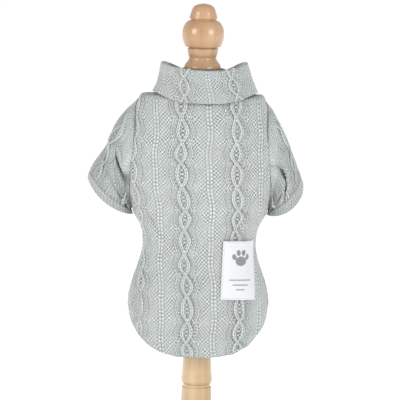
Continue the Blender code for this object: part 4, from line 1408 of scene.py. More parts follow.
@dataclass
class Sleeve:
    """A short wide sleeve whose root laps over the armhole's edge.

    Attributes:
        lap: how far the root reaches past the armhole's edge, and seat, how far off the panels.
        side_radius: the body's radius at the armhole, which turns a lap into an angle.
        crease: height of the shallow waves across the arm.
        rib_reach: the shares of the arm over which the knitting gives way to the ribs.
        root_light: how much painted light lightens the root, over the shares root_reach.
        folds: turn round the arm (0 on top, 90 towards the back panel), the shares of the arm
            where a fold starts and ends, its half width in degrees, its height and how far it
            leans round the arm.
        creases: more folds, of this sleeve alone.
    """

    arm: Arm
    knit: KnitPattern
    creases: tuple[Row, ...]
    around: int = 384
    along: int = 108
    root_rings: int = 6
    share: int = 4
    stitches: int = 84
    stitch: float = 3.0
    cloth: float = 3.0
    lap: float = 4.6
    seat: float = 0.35
    side_radius: float = 62.0
    crease: float = 1.2
    cable_turn: float = 42.0
    knit_repeats: int = 4
    knit_share: float = 0.85
    ribs: int = 42
    rib_height: float = 0.55
    rib_reach: Pair = (0.86, 0.95)
    root_light: float = 0.3
    root_reach: Pair = (0.01, 0.09)
    fold_columns: tuple[str, ...] = ("turn", "start", "end", "half_width", "height", "lean")
    folds: tuple[Row, ...] = (
        (38, 0.05, 0.75, 13, 1.8, 0),
        (122, 0.1, 1.0, 11, -2.2, 0),
        (150, 0.0, 0.9, 12, 2.0, 0),
        (205, 0.1, 0.9, 13, -2.4, 0),
        (250, 0.0, 1.0, 14, 2.2, 0),
        (288, 0.2, 1.0, 12, -2.4, 0),
        (325, 0.0, 0.8, 14, 1.6, 0),
    )

    def fold_height(self, share: Array, turn: Array) -> Array:
        """Folds along the arm, each a bell across and a sine along, and shallow waves across it.

        Args:
            share, turn: the place along and round the arm.

        Returns:
            The height.
        """
        degrees = np.degrees(turn)
        height = np.zeros(np.broadcast(share, turn).shape)
        for row in self.folds + self.creases:
            fold = dict(zip(self.fold_columns, row))
            away = degrees - fold["turn"] - fold["lean"] * (share - fold["start"])
            away = (away + 180) % 360 - 180
            along = np.clip((share - fold["start"]) / (fold["end"] - fold["start"]), 0, 1)
            height += fold["height"] * np.exp(-((away / fold["half_width"]) ** 2)) * np.sin(math.pi * along)
        waves = np.sin(share * 2 * math.pi * 2.5 + 2 * np.sin(turn))
        return height + self.crease * waves * np.sin(math.pi * share) * np.sin(turn) ** 2

    def knit_places(self, rings: Array, turn: Array) -> tuple[Array, Array]:
        """Sideways and lengthwise places in the knitting, with the closing column.

        The length is measured along the arm's straight axis. The sideways place is the angle
        about the axis, scaled so that whole repeats close round the arm.

        Args:
            rings: the sleeve's points.
            turn: angle round it.

        Returns:
            Both places.
        """
        start = rings[0].mean(axis=0)
        axis = rings[-1].mean(axis=0) - start
        axis[1] = 0
        axis /= np.linalg.norm(axis)
        upward = np.cross(axis, [0.0, 1.0, 0.0]) * self.arm.side.value
        off = rings - start
        angle = np.arctan2(-off[..., 1], off @ upward)
        angle = turn + wrapped(angle - turn)
        angle = np.concatenate([angle, angle[:, :1] + 2 * math.pi], axis=1)
        along = off @ axis
        along = np.concatenate([along, along[:, :1]], axis=1)
        spread = self.knit_repeats * self.knit.repeat / (2 * math.pi)
        return (angle - math.radians(self.cable_turn)) * spread, -along

    def fine_height(self, share: Array, turn: Array, across: Array, z: Array) -> Array:
        """The knitting, which gives way to ribs next to the cuff.

        Args:
            share, turn: the place along and round the arm.
            across, z: the place in the knitting.

        Returns:
            The height.
        """
        near_cuff = ramp(share, *self.rib_reach)
        knitting = self.knit_share * self.knit.height(across, z) * (1 - near_cuff)
        ribs = self.rib_height * (1 + np.cos(self.ribs * turn)) * near_cuff
        return (knitting + ribs) * ramp(share, -0.02, 0.05) * (1 - ramp(share, 0.99, 1.0))

    def root(self, turn: Array, grow: float) -> Array:
        """The loop round the armhole, grown by so many mm, a little off the panel.

        Args:
            turn: angle round the armhole.
            grow: distance past the armhole's edge.

        Returns:
            The points.
        """
        body = self.arm.body
        middle, half = body.armhole_middle()
        level = middle + (half + grow) * np.cos(turn)
        width = np.radians(body.armhole_width) + grow / self.side_radius
        wide = width * np.abs(np.sin(turn)) ** (2 * body.armhole_power)
        points = body.point(QUARTER - np.sign(np.sin(turn)) * wide, level, self.seat)
        return points * np.array([self.arm.side.value, 1, 1])

    def build(self, finish: Material) -> Piece:
        """The sleeve's mesh, a tube all round the arm.

        Args:
            finish: its material.

        Returns:
            The linked object.
        """
        turn = np.linspace(0, 2 * math.pi, self.around, endpoint=False)[None, :]
        share = np.linspace(0, 1, self.along + 1)[:, None]
        plain = self.arm.off_body(self.arm.ring(share, turn, self.fold_height(share, turn)))
        root = self.root(turn[0], self.lap)
        blend = np.linspace(0, 1, self.root_rings, endpoint=False)[:, None, None]
        rings = np.concatenate([root + (plain[0] - root) * blend, plain])
        share_all = np.concatenate([np.full((self.root_rings, 1), 0.0), share])
        normal = tube_normals(rings)
        across, z = self.knit_places(rings, turn)
        fine = self.fine_height(share_all, turn, across[:, :-1], z[:, :-1])
        outer = rings + normal * fine[..., None]
        outer[0], outer[-1] = rings[0], rings[-1]
        on_top = (1 + np.cos(turn)) / 2 * np.ones_like(share)
        on_top[-1] = 0
        flat = self.arm.off_body(self.arm.ring(share, turn, self.fold_height(share, turn) - self.cloth))
        square = self.arm.off_body(plain - normal[self.root_rings :] * self.cloth)
        inside = flat + (square - flat) * on_top[..., None]
        inner_root = self.root(turn[0], self.lap - self.cloth)
        inner = np.concatenate([[inner_root], inside[:: self.share]])[:, :: self.share]
        # Painted shade in the knitting's recesses, in the fold troughs and a little on the inner face, and
        # painted light near the root.
        painted_shade = shade_in_hollows(fine, 5)
        trough_shade = np.clip(-self.fold_height(share_all, turn) - 1, 0, 4) / 3
        u, v, kind = self.knit.maps(across, z)
        kind = kind + (1 - kind) * ramp(share_all, *self.rib_reach)
        run = tube_places(rings, self.stitches, self.stitch)
        places = np.stack([u, v], axis=-1)
        root_painted_light = self.root_light * (1 - ramp(share_all, *self.root_reach))
        values = {"kind": kind[:, :-1], "painted_shade": painted_shade + trough_shade - root_painted_light}
        inner_places = tube_places(inner, self.stitches, self.stitch)
        wall = Wall(outer, inner, True, places, inner_places, values, {"kind": 1.0, "painted_shade": 0.25})
        name = self.arm.side.name.lower()
        return sew(wall, f"{name}_sleeve", finish)


@dataclass
class Cuff:
    """A short ribbed band on a sleeve's end."""

    arm: Arm
    around: int = 336
    along: int = 15
    share: int = 3
    ribs: int = 42
    rib_height: float = 0.45
    stitches: int = 84
    stitch: float = 3.0
    cloth: float = 3.0
    rim: float = 1.2

    def build(self, finish: Material) -> Piece:
        """The cuff's mesh; its ribs are a cosine round the arm.

        Args:
            finish: its material.

        Returns:
            The linked object.
        """
        turn = np.linspace(0, 2 * math.pi, self.around, endpoint=False)[None, :]
        share = np.linspace(0, 1, self.along + 1)[:, None]
        plain = self.arm.ring(share, turn, np.zeros((self.along + 1, self.around)))
        steps = np.linalg.norm(np.diff(plain, axis=0), axis=-1)
        run = np.concatenate([np.zeros((1, self.around)), np.cumsum(steps, axis=0)])
        ribs = self.rib_height * (1 + np.cos(self.ribs * turn)) * ramp(run, -0.2, 0.9)
        fall = rounded(run[-1:] - run, self.rim)
        outer = self.arm.ring(share, turn, ribs - fall)
        inner_turn = turn[:, :: self.share]
        inner = self.arm.ring(share[:: self.along], inner_turn, np.full(inner_turn.shape, -self.cloth))
        # Painted shade between the ribs, and a little on the inner face.
        values = {"kind": np.ones_like(ribs), "painted_shade": 0.3 * (1 - ribs / (2 * self.rib_height))}
        places = tube_places(plain, self.stitches, self.stitch)
        inner_places = tube_places(inner, self.stitches, self.stitch)
        wall = Wall(outer, inner, True, places, inner_places, values, {"kind": 1.0, "painted_shade": 0.2})
        name = self.arm.side.name.lower()
        return sew(wall, f"{name}_cuff", finish)


# ---- the collar
@dataclass
class Collar:
    """The turtleneck: a stand from the neck seam, folded over outwards into an outer layer.

    Attributes:
        outer: the outer layer's half sizes from the crest down, by share of its drop.
        crest: heights of the fold at the back, the sides and the belly.
        edge: heights of the lower edge there.
        stand: half sizes of the stand's outer face at the neck seam.
        stand_top: the same at the fold.
        valley: how far the stand's top lies below the crest.
        first_drop: share of the drop where the outer layer turns into the fold.
        layers: length of the flat piece, against the outer layer's; not used.
    """

    body: TorsoShape
    knit: KnitPattern
    columns: tuple[str, ...] = ("drop", "half_width", "back_depth", "belly_depth", "centre")
    outer: tuple[Row, ...] = (
        (0.00, 43.5, 36.0, 34.5, 1.6),
        (0.03, 46.0, 38.5, 37.0, 1.8),
        (0.14, 47.6, 40.5, 39.5, 2.0),
        (0.35, 49.4, 43.2, 43.0, 2.6),
        (0.60, 51.8, 46.4, 47.5, 3.2),
        (0.82, 54.6, 49.6, 51.5, 3.4),
        (1.00, 57.4, 52.4, 54.5, 3.4),
    )
    crest: Row = (413.8, 420.4, 405.0)
    edge: Row = (378.4, 387.4, 374.0)
    stand: Row = (46.0, 39.5, 38.5)
    stand_top: Row = (42.0, 35.0, 33.0)
    stand_shift: float = 1.2
    valley: float = 3.6
    seat: float = 0.5
    wave: float = 0.9
    cloth: float = 3.0
    around: int = 480
    layer_rows: int = 56
    fold_rows: int = 12
    fold_rise: float = 2.2
    share: int = 4
    first_drop: float = 0.05
    knit_share: float = 0.8
    knit_repeats: int = 5
    knit_height: float = 40.0
    knit_over: float = 4.0
    inner_stitches: int = 120
    layers: float = 2.4
    rim: float = 1.3
    droop: float = 0.5

    def height_round(self, turn: Array, heights: Row) -> Array:
        """A height that runs smoothly from the back over the sides to the belly.

        Args:
            turn: angle round the neck.
            heights: those at the back, the sides and the belly.

        Returns:
            The height.
        """
        back, sides, belly = heights
        facing = np.cos(turn)
        return sides + np.where(facing > 0, back - sides, belly - sides) * np.abs(facing) ** 2.5

    def crest_z(self, turn: Array) -> Array:
        """Height of the folded top edge, with a small uneven wave."""
        return self.height_round(turn, self.crest) + self.wave * np.cos(3 * turn + 0.6)

    def layer(self, turn: Array, drop: Array, out: Array) -> Array:
        """The outer layer at a share of its drop, moved outwards by so many mm.

        Args:
            turn, drop: the place round and down the layer.
            out: distance outwards.

        Returns:
            The points.
        """
        drops = column(self.outer, self.columns, "drop")
        width, back, belly, centre = (
            smooth(drops, column(self.outer, self.columns, name), drop) for name in self.columns[1:]
        )
        crest = self.crest_z(turn)
        edge = self.height_round(turn, self.edge) + self.wave * np.cos(5 * turn)
        z = crest + (edge - crest) * drop
        return oval(turn, width + out, back + out, belly + out, centre, z)

    def inside(self, turn: Array, share: Array, inwards: Array) -> Array:
        """The stand from the seam, share 0, to the fold, share 1.

        Args:
            turn, share: the place round and up the stand.
            inwards: distance inwards.

        Returns:
            The points.
        """
        low, high = np.array(self.stand), np.array(self.stand_top)
        width, back, belly = (low[i] + (high[i] - low[i]) * share - inwards for i in range(3))
        foot = self.body.section["z"][-1] + self.seat
        z = foot + (self.crest_z(turn) - self.valley - foot) * share
        return oval(turn, width, back, belly, self.stand_shift * share, z)

    def across(self, turn: Array) -> Array:
        """Sideways place in the knitting, spread so that whole repeats close round the neck.

        Args:
            turn: angle round the neck.

        Returns:
            The place, from the middle of the back.
        """
        level = self.body.level[-1]
        spread = self.knit_repeats * self.knit.repeat / (4 * self.body.quarter_girth(level))
        way = turn - 2 * math.pi
        near = np.where(np.abs(way) > QUARTER, np.sign(way) * math.pi - way, way)
        length = self.body.across_at(near, level) * spread
        half = self.knit_repeats * self.knit.repeat / 2
        return np.where(np.abs(way) > QUARTER, np.sign(way) * half - length, length)

    def build(self, finish: Material) -> Piece:
        """The collar's mesh, a folded sheet.

        The outer grid runs from the lower edge up the outer layer and over the fold, a half
        circle between the outer layer's face and the stand's inner face. The inner grid runs on
        down the stand's inner face, under its seam edge and up between the two layers.

        Args:
            finish: its material.

        Returns:
            The linked object.
        """
        turn = np.linspace(math.pi, 3 * math.pi, self.around, endpoint=False)[None, :]
        drop = np.linspace(1.0, self.first_drop, self.layer_rows)[:, None]
        across = self.across(turn)
        knit_z = self.knit.cable_level + self.knit_height * (1 - drop)
        raised = self.knit.height(across, knit_z) * self.knit_share
        soft = self.droop * ripple(np.degrees(turn) + 40 * drop, (48.0, 72.0, 30.0), 2.1) * drop
        layer_length = (self.crest[0] - self.edge[0]) * (1 - self.first_drop)
        fall = rounded((1 - drop) * layer_length, self.rim)
        layer = self.layer(turn, drop, raised + soft - fall)
        top_out = self.layer(turn[0], np.array(self.first_drop), soft[-1])
        top_in = self.inside(turn[0], np.array(0.9), self.cloth)
        angle = np.linspace(0, math.pi, self.fold_rows + 1)[1:, None]
        cosine, sine = np.cos(angle)[..., None], np.sin(angle)[..., None]
        fold = (top_out + top_in) / 2 + (top_out - top_in) / 2 * cosine
        over = fold - (top_out + top_in) / 2
        over[..., 2] = 0
        over_z = self.knit.cable_level + self.knit_height + self.knit_over * angle
        raised_top = self.knit.height(across, over_z) * self.knit_share
        raised_top = raised_top * (1 - 0.7 * angle / math.pi)
        fold[..., 2] += (self.fold_rise * sine)[..., 0] + (raised_top * sine[..., 0])
        reach = np.maximum(np.linalg.norm(over, axis=-1, keepdims=True), 1e-6)
        fold = fold + over / reach * (raised_top * np.abs(cosine[..., 0]))[..., None]
        outer = np.concatenate([layer, fold])
        coarse = turn[:, :: self.share]
        down = np.linspace(0.8, 0.0, 9)[:, None]
        up = np.linspace(0.0, 0.97, 7)[:, None]
        back = np.linspace(0.16, 0.97, 8)[:, None]
        between = self.layer(coarse, back[::-1], np.array(-self.cloth))
        stand_out = self.inside(coarse, up[::-1], np.array(0.0))
        stand_in = self.inside(coarse, down[::-1], np.array(self.cloth))
        inner = np.concatenate([between, stand_out, stand_in])
        places, kinds = self.places(knit_z, len(outer))
        inner_places = tube_places(inner, self.inner_stitches, self.knit.seed_pitch)
        # Painted shade in the knitting's recesses, and a little on the inner face.
        values = {"kind": kinds, "painted_shade": shade_in_hollows(np.concatenate([raised, raised_top]), 6)}
        wall = Wall(outer, inner, True, places, inner_places, values, {"kind": 1.0, "painted_shade": 0.3})
        inside = self.inside(turn, down[::-1], np.array(0.0))
        area = surface_area(self.layer(turn, drop, np.array(0.0)), True) + surface_area(inside, True)
        return sew(wall, "collar", finish)

    def places(self, knit_z: Array, rows: int) -> tuple[Array, Array]:
        """Stitch places of the outer grid, with the closing column, and its stitch kinds.

        Args:
            knit_z: heights of the outer layer's rows.
            rows: rows of the whole grid.

        Returns:
            The places and the kinds.
        """
        over = knit_z[-1] + np.arange(1, rows - len(knit_z) + 1)[:, None] * 0.9
        turn = np.linspace(math.pi, 3 * math.pi, self.around + 1)[None, :]
        across, z = np.broadcast_arrays(self.across(turn), np.concatenate([knit_z, over]))
        u, v, kind = self.knit.maps(across, z)
        return np.stack([u, v], axis=-1), kind[:, :-1]


# ---- the patch
@dataclass
class Patch:
    """A woven label on the back panel, with a plain printed paw mark, in mm."""

    body: TorsoShape
    knit: KnitPattern
    across: float = 24.2
    wide: float = 42.0
    foot: float = 164.0
    top: float = 227.5
    slant: float = 0.04
    tilt: float = 0.06
    thick: float = 1.0
    lying: float = 0.7
    columns: int = 112
    rows: int = 168
    share: int = 4
    seam_in: float = 1.6
    seam_step: float = 2.6
    sink: float = 0.22
    puff: float = 0.35
    rim: float = 0.4
    paw_at: Pair = (21.0, 41.0)
    paw_pad: Pair = (6.6, 5.2)
    toe_size: Pair = (2.5, 3.4)
    toes: tuple[tuple[float, float, float], ...] = (
        (-8.2, 4.6, 24.0),
        (-3.1, 9.2, 7.0),
        (3.1, 9.2, -7.0),
        (8.2, 4.6, -24.0),
    )
    bars: tuple[tuple[float, float, float], ...] = ((21.0, 20.5, 13.0), (21.0, 15.5, 9.0), (21.0, 10.5, 5.0))
    bar_half: float = 0.55

    def spot(self, a: Array, b: Array, centre: Pair, size: Pair, tilt: float) -> Array:
        """1 inside a tilted ellipse and 0 outside, soft over a third of a millimetre.

        Args:
            a, b: the place on the patch.
            centre, size: the ellipse's middle and half sizes.
            tilt: its turn in degrees.

        Returns:
            The share.
        """
        angle = math.radians(tilt)
        x, y = a - centre[0], b - centre[1]
        along = (x * math.cos(angle) + y * math.sin(angle)) / size[0]
        over = (y * math.cos(angle) - x * math.sin(angle)) / size[1]
        return 1 - ramp((np.hypot(along, over) - 1) * min(size), -0.18, 0.18)

    def ink(self, a: Array, b: Array) -> Array:
        """The printed mark: a pad with four toes, and three short rules below it.

        Args:
            a, b: the place on the patch.

        Returns:
            The ink's share.
        """
        mark = self.spot(a, b, self.paw_at, self.paw_pad, 0.0)
        for x, y, tilt in self.toes:
            centre = (self.paw_at[0] + x, self.paw_at[1] + y)
            mark = np.maximum(mark, self.spot(a, b, centre, self.toe_size, tilt))
        for x, y, half in self.bars:
            inside = np.minimum(half - np.abs(a - x), self.bar_half - np.abs(b - y))
            mark = np.maximum(mark, ramp(inside, -0.15, 0.15))
        return 0.9 * mark

    def thread(self, a: Array, b: Array) -> Array:
        """The sewn line just inside the edge, broken into stitches.

        Args:
            a, b: the place on the patch.

        Returns:
            The thread's share.
        """
        from_side = np.minimum(a, self.wide - a)
        from_end = np.minimum(b, self.top - self.foot - b)
        inward = np.minimum(from_side, from_end)
        run = np.where(from_side < from_end, b, a)
        line = 1 - ramp(np.abs(inward - self.seam_in), 0.12, 0.34)
        return line * ramp(np.cos(2 * math.pi * run / self.seam_step), -0.75, -0.45)

    def build(self, finish: Material) -> Piece:
        """The patch's mesh; it lies on the cloth's highest columns.

        Args:
            finish: its material.

        Returns:
            The linked object.
        """
        b = np.linspace(0, self.top - self.foot, self.rows + 1)[:, None]
        a = np.linspace(0, self.wide, self.columns + 1)[None, :]
        a, b = np.broadcast_arrays(a, b)
        z = self.foot + b + self.tilt * (self.wide - a)
        across = self.across + a + self.slant * b
        level = self.body.level_at(z)
        turn = self.body.turn_at(across, level)
        place = across - self.knit.cable_at - self.knit.lean * (self.knit.cable_level - z)
        half = self.knit.repeat / 2
        away = np.abs((place + half) % self.knit.repeat - half)
        high = self.knit.strand_height + self.knit.strand_lift
        low = high - self.knit.rib_height - 0.4
        lying = high - low * ramp(away, 7.0, 20.0) + self.body.fold_height(turn, z) + self.lying
        thread = self.thread(a, b)
        from_edge = np.minimum(np.minimum(a, self.wide - a), np.minimum(b, self.top - self.foot - b))
        puff = self.puff * ramp(from_edge, 0.8, 5.0) - self.sink * thread - rounded(from_edge, self.rim)
        outer = self.body.point(turn, level, lying + self.thick - self.puff + puff)
        every = slice(None, None, self.share)
        inner = self.body.point(turn[every, every], level[every, every], lying[every, every])
        places = np.stack([a, b], axis=-1)
        values = {"ink": self.ink(a, b), "thread": thread}
        wall = Wall(outer, inner, False, places, places[every, every], values, {"ink": 0.0, "thread": 0.0})
        return sew(wall, "patch", finish)


# ---- the form and stand
@dataclass
class DressForm:
    """The smooth limbless torso and the dome that closes its neck."""

    body: TorsoShape
    around: int = 144
    rows: int = 84
    foot: float = 130.0
    foot_drop: float = 4.0
    foot_share: float = 0.93
    shoulder_rows: int = 20
    cloth: float = 3.0
    neck: Pair = (35.5, 30.0)
    neck_flare: float = 1.5
    neck_heights: Row = (385.4, 389.0, 398.0)
    cap_foot: float = 398.3
    cap_top: float = 413.2
    cap_flat: float = 21.5
    cap_rows: int = 18

    def torso(self, finish: Material) -> Piece:
        """The torso: the cloth's plain face moved in by the cloth and the ease, with a round foot.

        Args:
            finish: its material.

        Returns:
            The linked object.
        """
        turn = np.linspace(-math.pi, math.pi, self.around, endpoint=False)
        shoulder = self.body.level_at(self.body.armhole_top)
        below = np.linspace(self.body.level_at(self.foot), shoulder, self.rows, endpoint=False)
        above = np.linspace(shoulder, self.body.level[-1], self.shoulder_rows)
        levels = np.concatenate([below, above])[:, None]
        rings = self.body.point(turn, levels, -self.cloth - self.body.read("ease", levels))
        quarter = np.linspace(0, QUARTER, 7)[:-1, None, None]
        flat = rings[0] * np.array([1, 1, 0]) + np.array([0, 0, self.foot])
        shrink = 1 - (1 - self.foot_share) * (1 - np.sin(quarter))
        rounded_foot = flat * np.concatenate([shrink, shrink, np.ones_like(shrink)], axis=-1)
        rounded_foot[..., 2] = self.foot - self.foot_drop * np.cos(quarter[..., 0])
        width, depth = self.neck
        low, straight, top = self.neck_heights
        flares = ((self.neck_flare, low), (0.0, straight), (0.0, top))
        neck = [oval(turn, width + more, depth + more, depth + more, 0.0, z) for more, z in flares]
        piece = loft_object("form_torso", np.concatenate([rounded_foot, rings, neck]), finish)
        return fit_piece(piece, "form_body")

    def cap(self, finish: Material) -> Piece:
        """The neck's dome: quarter ellipses from the oval neck in to the round finial's foot.

        Args:
            finish: its material.

        Returns:
            The linked object.
        """
        turn = np.linspace(-math.pi, math.pi, self.around, endpoint=False)
        angle = np.linspace(0, QUARTER, self.cap_rows)
        inward, rise = 1 - np.cos(angle), np.sin(angle)
        width, depth = (self.neck[i] + (self.cap_flat - self.neck[i]) * inward[:, None] for i in (0, 1))
        z = self.cap_foot + (self.cap_top - self.cap_foot) * rise[:, None]
        rings = oval(turn, width, depth, depth, 0.0, z)
        return fit_piece(loft_object("neck_dome", rings, finish), "neck_cap")


@dataclass
class TurnedPiece:
    """A lathe-turned piece: runs of smooth curve between sharp points, spun round the post's axis.

    Attributes:
        profile: height, radius and 1 where the outline turns sharply, from the top down.
        spacing: distance between points along the outline.
        edge: distance of the extra point beside a sharp one.
        reach: height over which a narrower ring counts as a groove.
    """

    name: str
    node: str
    profile: tuple[Row, ...]
    steps: int = 120
    spacing: float = 0.9
    edge: float = 0.35
    reach: float = 1.5

    def outline(self) -> Array:
        """The outline's points: a Hermite curve by length through each run of points.

        Returns:
            A height and a radius for each point.
        """
        rows = np.array(self.profile, float)
        sharp = np.flatnonzero(rows[:, 2] > 0)
        runs = []
        for start, end in zip(sharp[:-1], sharp[1:]):
            run = rows[start : end + 1, :2]
            place = np.concatenate([[0.0], np.cumsum(np.linalg.norm(np.diff(run, axis=0), axis=1))])
            count = max(2, int(round(place[-1] / self.spacing)) + 1)
            at = self.edge_spaced(place[-1], count)
            z, r = smooth(place, run[:, 0], at), smooth(place, run[:, 1], at)
            runs.append(np.stack([z, r], axis=-1)[: -1 if end < sharp[-1] else None])
        return np.concatenate(runs)

    def edge_spaced(self, length: float, count: int) -> Array:
        """Even places along a run, with one more close to each end, which keeps its edge crisp."""
        near = min(self.edge, length / (3 * count))
        return np.unique(np.concatenate([np.linspace(0, length, count), [near, length - near]]))

    def grooves(self, z: Array, r: Array) -> Array:
        """How deep each ring lies in a groove, from 0 to 1, for the painted shade there.

        The lesser of the greatest radii within reach above it and below it, less its own radius.

        Args:
            z, r: heights and radii of the rings.

        Returns:
            The depths.
        """
        rise = z[None, :] - z[:, None]
        above = np.where((rise >= 0) & (rise <= self.reach), r, 0).max(axis=1)
        below = np.where((rise <= 0) & (rise >= -self.reach), r, 0).max(axis=1)
        return np.clip(np.minimum(above, below) - r, 0, 1)

    def build(self, finish: Material, slot: str = "beech") -> Piece:
        """The turned mesh, closed by a fan at each end.

        Args:
            finish: its material.
            slot: the material slot; not used.

        Returns:
            The linked object.
        """
        turn = np.linspace(0, 2 * math.pi, self.steps, endpoint=False)
        z, r = self.outline()[::-1].T
        across = np.broadcast_arrays(r[:, None] * np.cos(turn), r[:, None] * np.sin(turn), z[:, None])
        rings = np.stack(across, axis=-1)
        return fit_piece(loft_object(self.name, rings, finish, self.grooves(z, r)), self.node)


@dataclass
class Stand:
    """The turned wooden knob, post and round base, as TurnedPiece's profiles."""

    finial: tuple[Row, ...] = (
        (484.15, 0.6, 1), (483.8, 3.0, 0), (482.8, 7.0, 0), (480.8, 10.6, 0), (476.8, 12.9, 0),
        (472.3, 14.2, 0), (468.2, 15.4, 1), (467.3, 13.9, 1), (466.0, 13.9, 1), (465.2, 16.4, 1),
        (463.2, 18.7, 0), (459.0, 21.3, 0), (454.6, 22.5, 0), (450.0, 22.8, 0), (445.7, 22.4, 0),
        (441.3, 21.0, 0), (437.2, 19.3, 1), (436.6, 15.9, 1), (435.6, 15.9, 1), (435.0, 16.8, 1),
        (432.4, 16.6, 0), (428.0, 15.8, 0), (424.6, 14.8, 0), (421.3, 16.2, 0), (418.6, 18.4, 0),
        (415.6, 19.9, 0), (413.5, 19.9, 1),
    )
    post: tuple[Row, ...] = (
        (125.7, 15.4, 1), (118.0, 15.4, 0), (92.0, 15.5, 0), (76.0, 16.4, 0), (65.0, 16.6, 0),
        (64.0, 16.2, 1), (62.6, 14.6, 1), (60.8, 14.6, 1), (59.4, 16.4, 1), (44.0, 17.2, 0),
        (34.0, 19.6, 0), (27.0, 23.5, 1), (20.3, 23.5, 1),
    )
    base: tuple[Row, ...] = (
        (20.0, 0.5, 1), (20.0, 60.0, 0), (20.0, 85.0, 1), (19.6, 87.0, 0), (18.5, 88.6, 0),
        (17.0, 89.6, 0), (15.0, 90.0, 1), (5.0, 90.0, 1), (3.0, 89.6, 0), (1.5, 88.6, 0),
        (0.4, 87.0, 0), (0.0, 85.0, 1), (0.0, 60.0, 0), (0.0, 0.5, 1),
    )

    def build(self) -> None:
        """The three turned pieces, with upright grain in the knob and post and level in the base."""
        knob = BeechFinish("varnished_beech", pale=(0.59, 0.374, 0.212, 1.0), tan=(0.44, 0.246, 0.124, 1.0))
        TurnedPiece("turned_finial", "finial", self.finial).build(knob.build())
        # The post's beech is a paler copy of the knob's: partly its own tone, partly painted light against
        # the sweater's shade over it.
        upright = BeechFinish("pale_beech", pale=(0.76, 0.575, 0.35, 1.0), tan=(0.6, 0.4, 0.215, 1.0))
        TurnedPiece("turned_post", "post", self.post).build(upright.build())
        board = BeechFinish("beech_board", grain=(0.07, 1.0, 1.0), coat=0.0, rough=0.5).build()
        TurnedPiece("turned_base", "base", self.base, spacing=3.0).build(board)


# ---- the studio
@dataclass
class Studio:
    """A pale floor, soft lamps on both sides of the camera and the camera itself.

    Attributes:
        target: the point that the camera looks at, in mm.
        elevation: how far the camera looks down, in degrees.
        roll: turn of the camera about its own axis, in degrees.
        field: width of the view at the target.
        world: strength of the light from all round.
        lamps: name, place in metres, side in metres and watts of each soft lamp.
    """

    target: Row = (0.0, 0.0, 268.1)
    distance: float = 3000.0
    elevation: float = 7.5
    roll: float = 1.1
    field: float = 440.0
    sensor: float = 36.0
    floor_size: float = 34.0
    world: float = 0.56
    lamps: tuple[tuple[str, Row, float, float], ...] = (
        ("soft_left", (-1.85, -1.45, 1.05), 1.0, 23.0),
        ("soft_right", (1.70, -1.65, 0.95), 0.9, 21.0),
    )

    def camera(self) -> None:
        """The camera, level with the target's elevation, turned about its own axis last."""
        tilt = math.radians(self.elevation)
        data = bpy.data.cameras.new("studio_camera")
        data.sensor_width = self.sensor
        data.lens = self.sensor * self.distance / self.field
        data.clip_end = 50.0
        made = bpy.data.objects.new("studio_camera", data)
        x, y, z = self.target
        away, above = self.distance * math.cos(tilt), self.distance * math.sin(tilt)
        made.location = (x * MM, (y - away) * MM, (z + above) * MM)
        roll = Matrix.Rotation(math.radians(self.roll), 3, "Z")
        made.rotation_euler = (Matrix.Rotation(QUARTER - tilt, 3, "X") @ roll).to_euler()
        bpy.context.scene.collection.objects.link(made)
        bpy.context.scene.camera = made

    def lamp(self, name: str, place: Row, size: float, power: float) -> None:
        """A square area lamp that faces the target.

        Args:
            name: its name.
            place: where it stands, in metres.
            size, power: its side in metres and its watts.
        """
        data = bpy.data.lights.new(name, "AREA")
        data.size = size
        data.energy = power
        made = bpy.data.objects.new(name, data)
        made.location = place
        way = np.array(self.target) * MM - np.array(place)
        tilt = math.acos(-way[2] / np.linalg.norm(way))
        made.rotation_euler = (tilt, 0.0, math.atan2(way[1], way[0]) - QUARTER)
        bpy.context.scene.collection.objects.link(made)

    def build(self) -> None:
        """The floor, the world, the lamps and the camera."""
        half = self.floor_size / 2
        mesh = bpy.data.meshes.new("studio_floor")
        corners = [(-half, -half, 0), (half, -half, 0), (half, half, 0), (-half, half, 0)]
        mesh.from_pydata(corners, [], [(0, 1, 2, 3)])
        mesh.materials.append(PaperFinish().build())
        floor = bpy.data.objects.new("studio_floor", mesh)
        bpy.context.scene.collection.objects.link(floor)
        world = bpy.data.worlds.new("studio_world")
        world.use_nodes = True
        background = world.node_tree.nodes["Background"]
        background.inputs["Color"].default_value = (1.0, 1.0, 1.0, 1.0)
        background.inputs["Strength"].default_value = self.world
        bpy.context.scene.world = world
        bpy.context.scene.view_settings.view_transform = "Standard"
        for lamp in self.lamps:
            self.lamp(*lamp)
        self.camera()


# ---- everything
# Small folds of one panel each: start, end, half width and height.
BACK_CREASES = (
    Fold((-71, 172), (-69, 140), 2.4, -2.0),
    Fold((-64, 196), (-72, 158), 3.4, -1.0),
    Fold((57, 168), (60, 134), 2.4, -1.6),
    Fold((-58, 262), (-38, 226), 3.2, -1.3),
    Fold((-66, 276), (-52, 246), 2.6, -1.2),
    Fold((60, 264), (44, 232), 3.2, -1.2),
    Fold((66, 280), (54, 250), 2.6, -1.1),
    Fold((-50, 366), (-20, 352), 3.4, -0.8),
    Fold((52, 364), (28, 350), 3.4, -0.8),
)
BELLY_CREASES = (
    Fold((-62, 262), (-40, 224), 3.4, -1.4),
    Fold((60, 268), (42, 234), 3.2, -1.3),
    Fold((-30, 250), (12, 240), 3.6, -1.0),
    Fold((20, 226), (-16, 216), 3.4, -0.9),
    Fold((-44, 364), (-16, 348), 3.6, -0.9),
    Fold((46, 362), (22, 350), 3.6, -0.9),
)
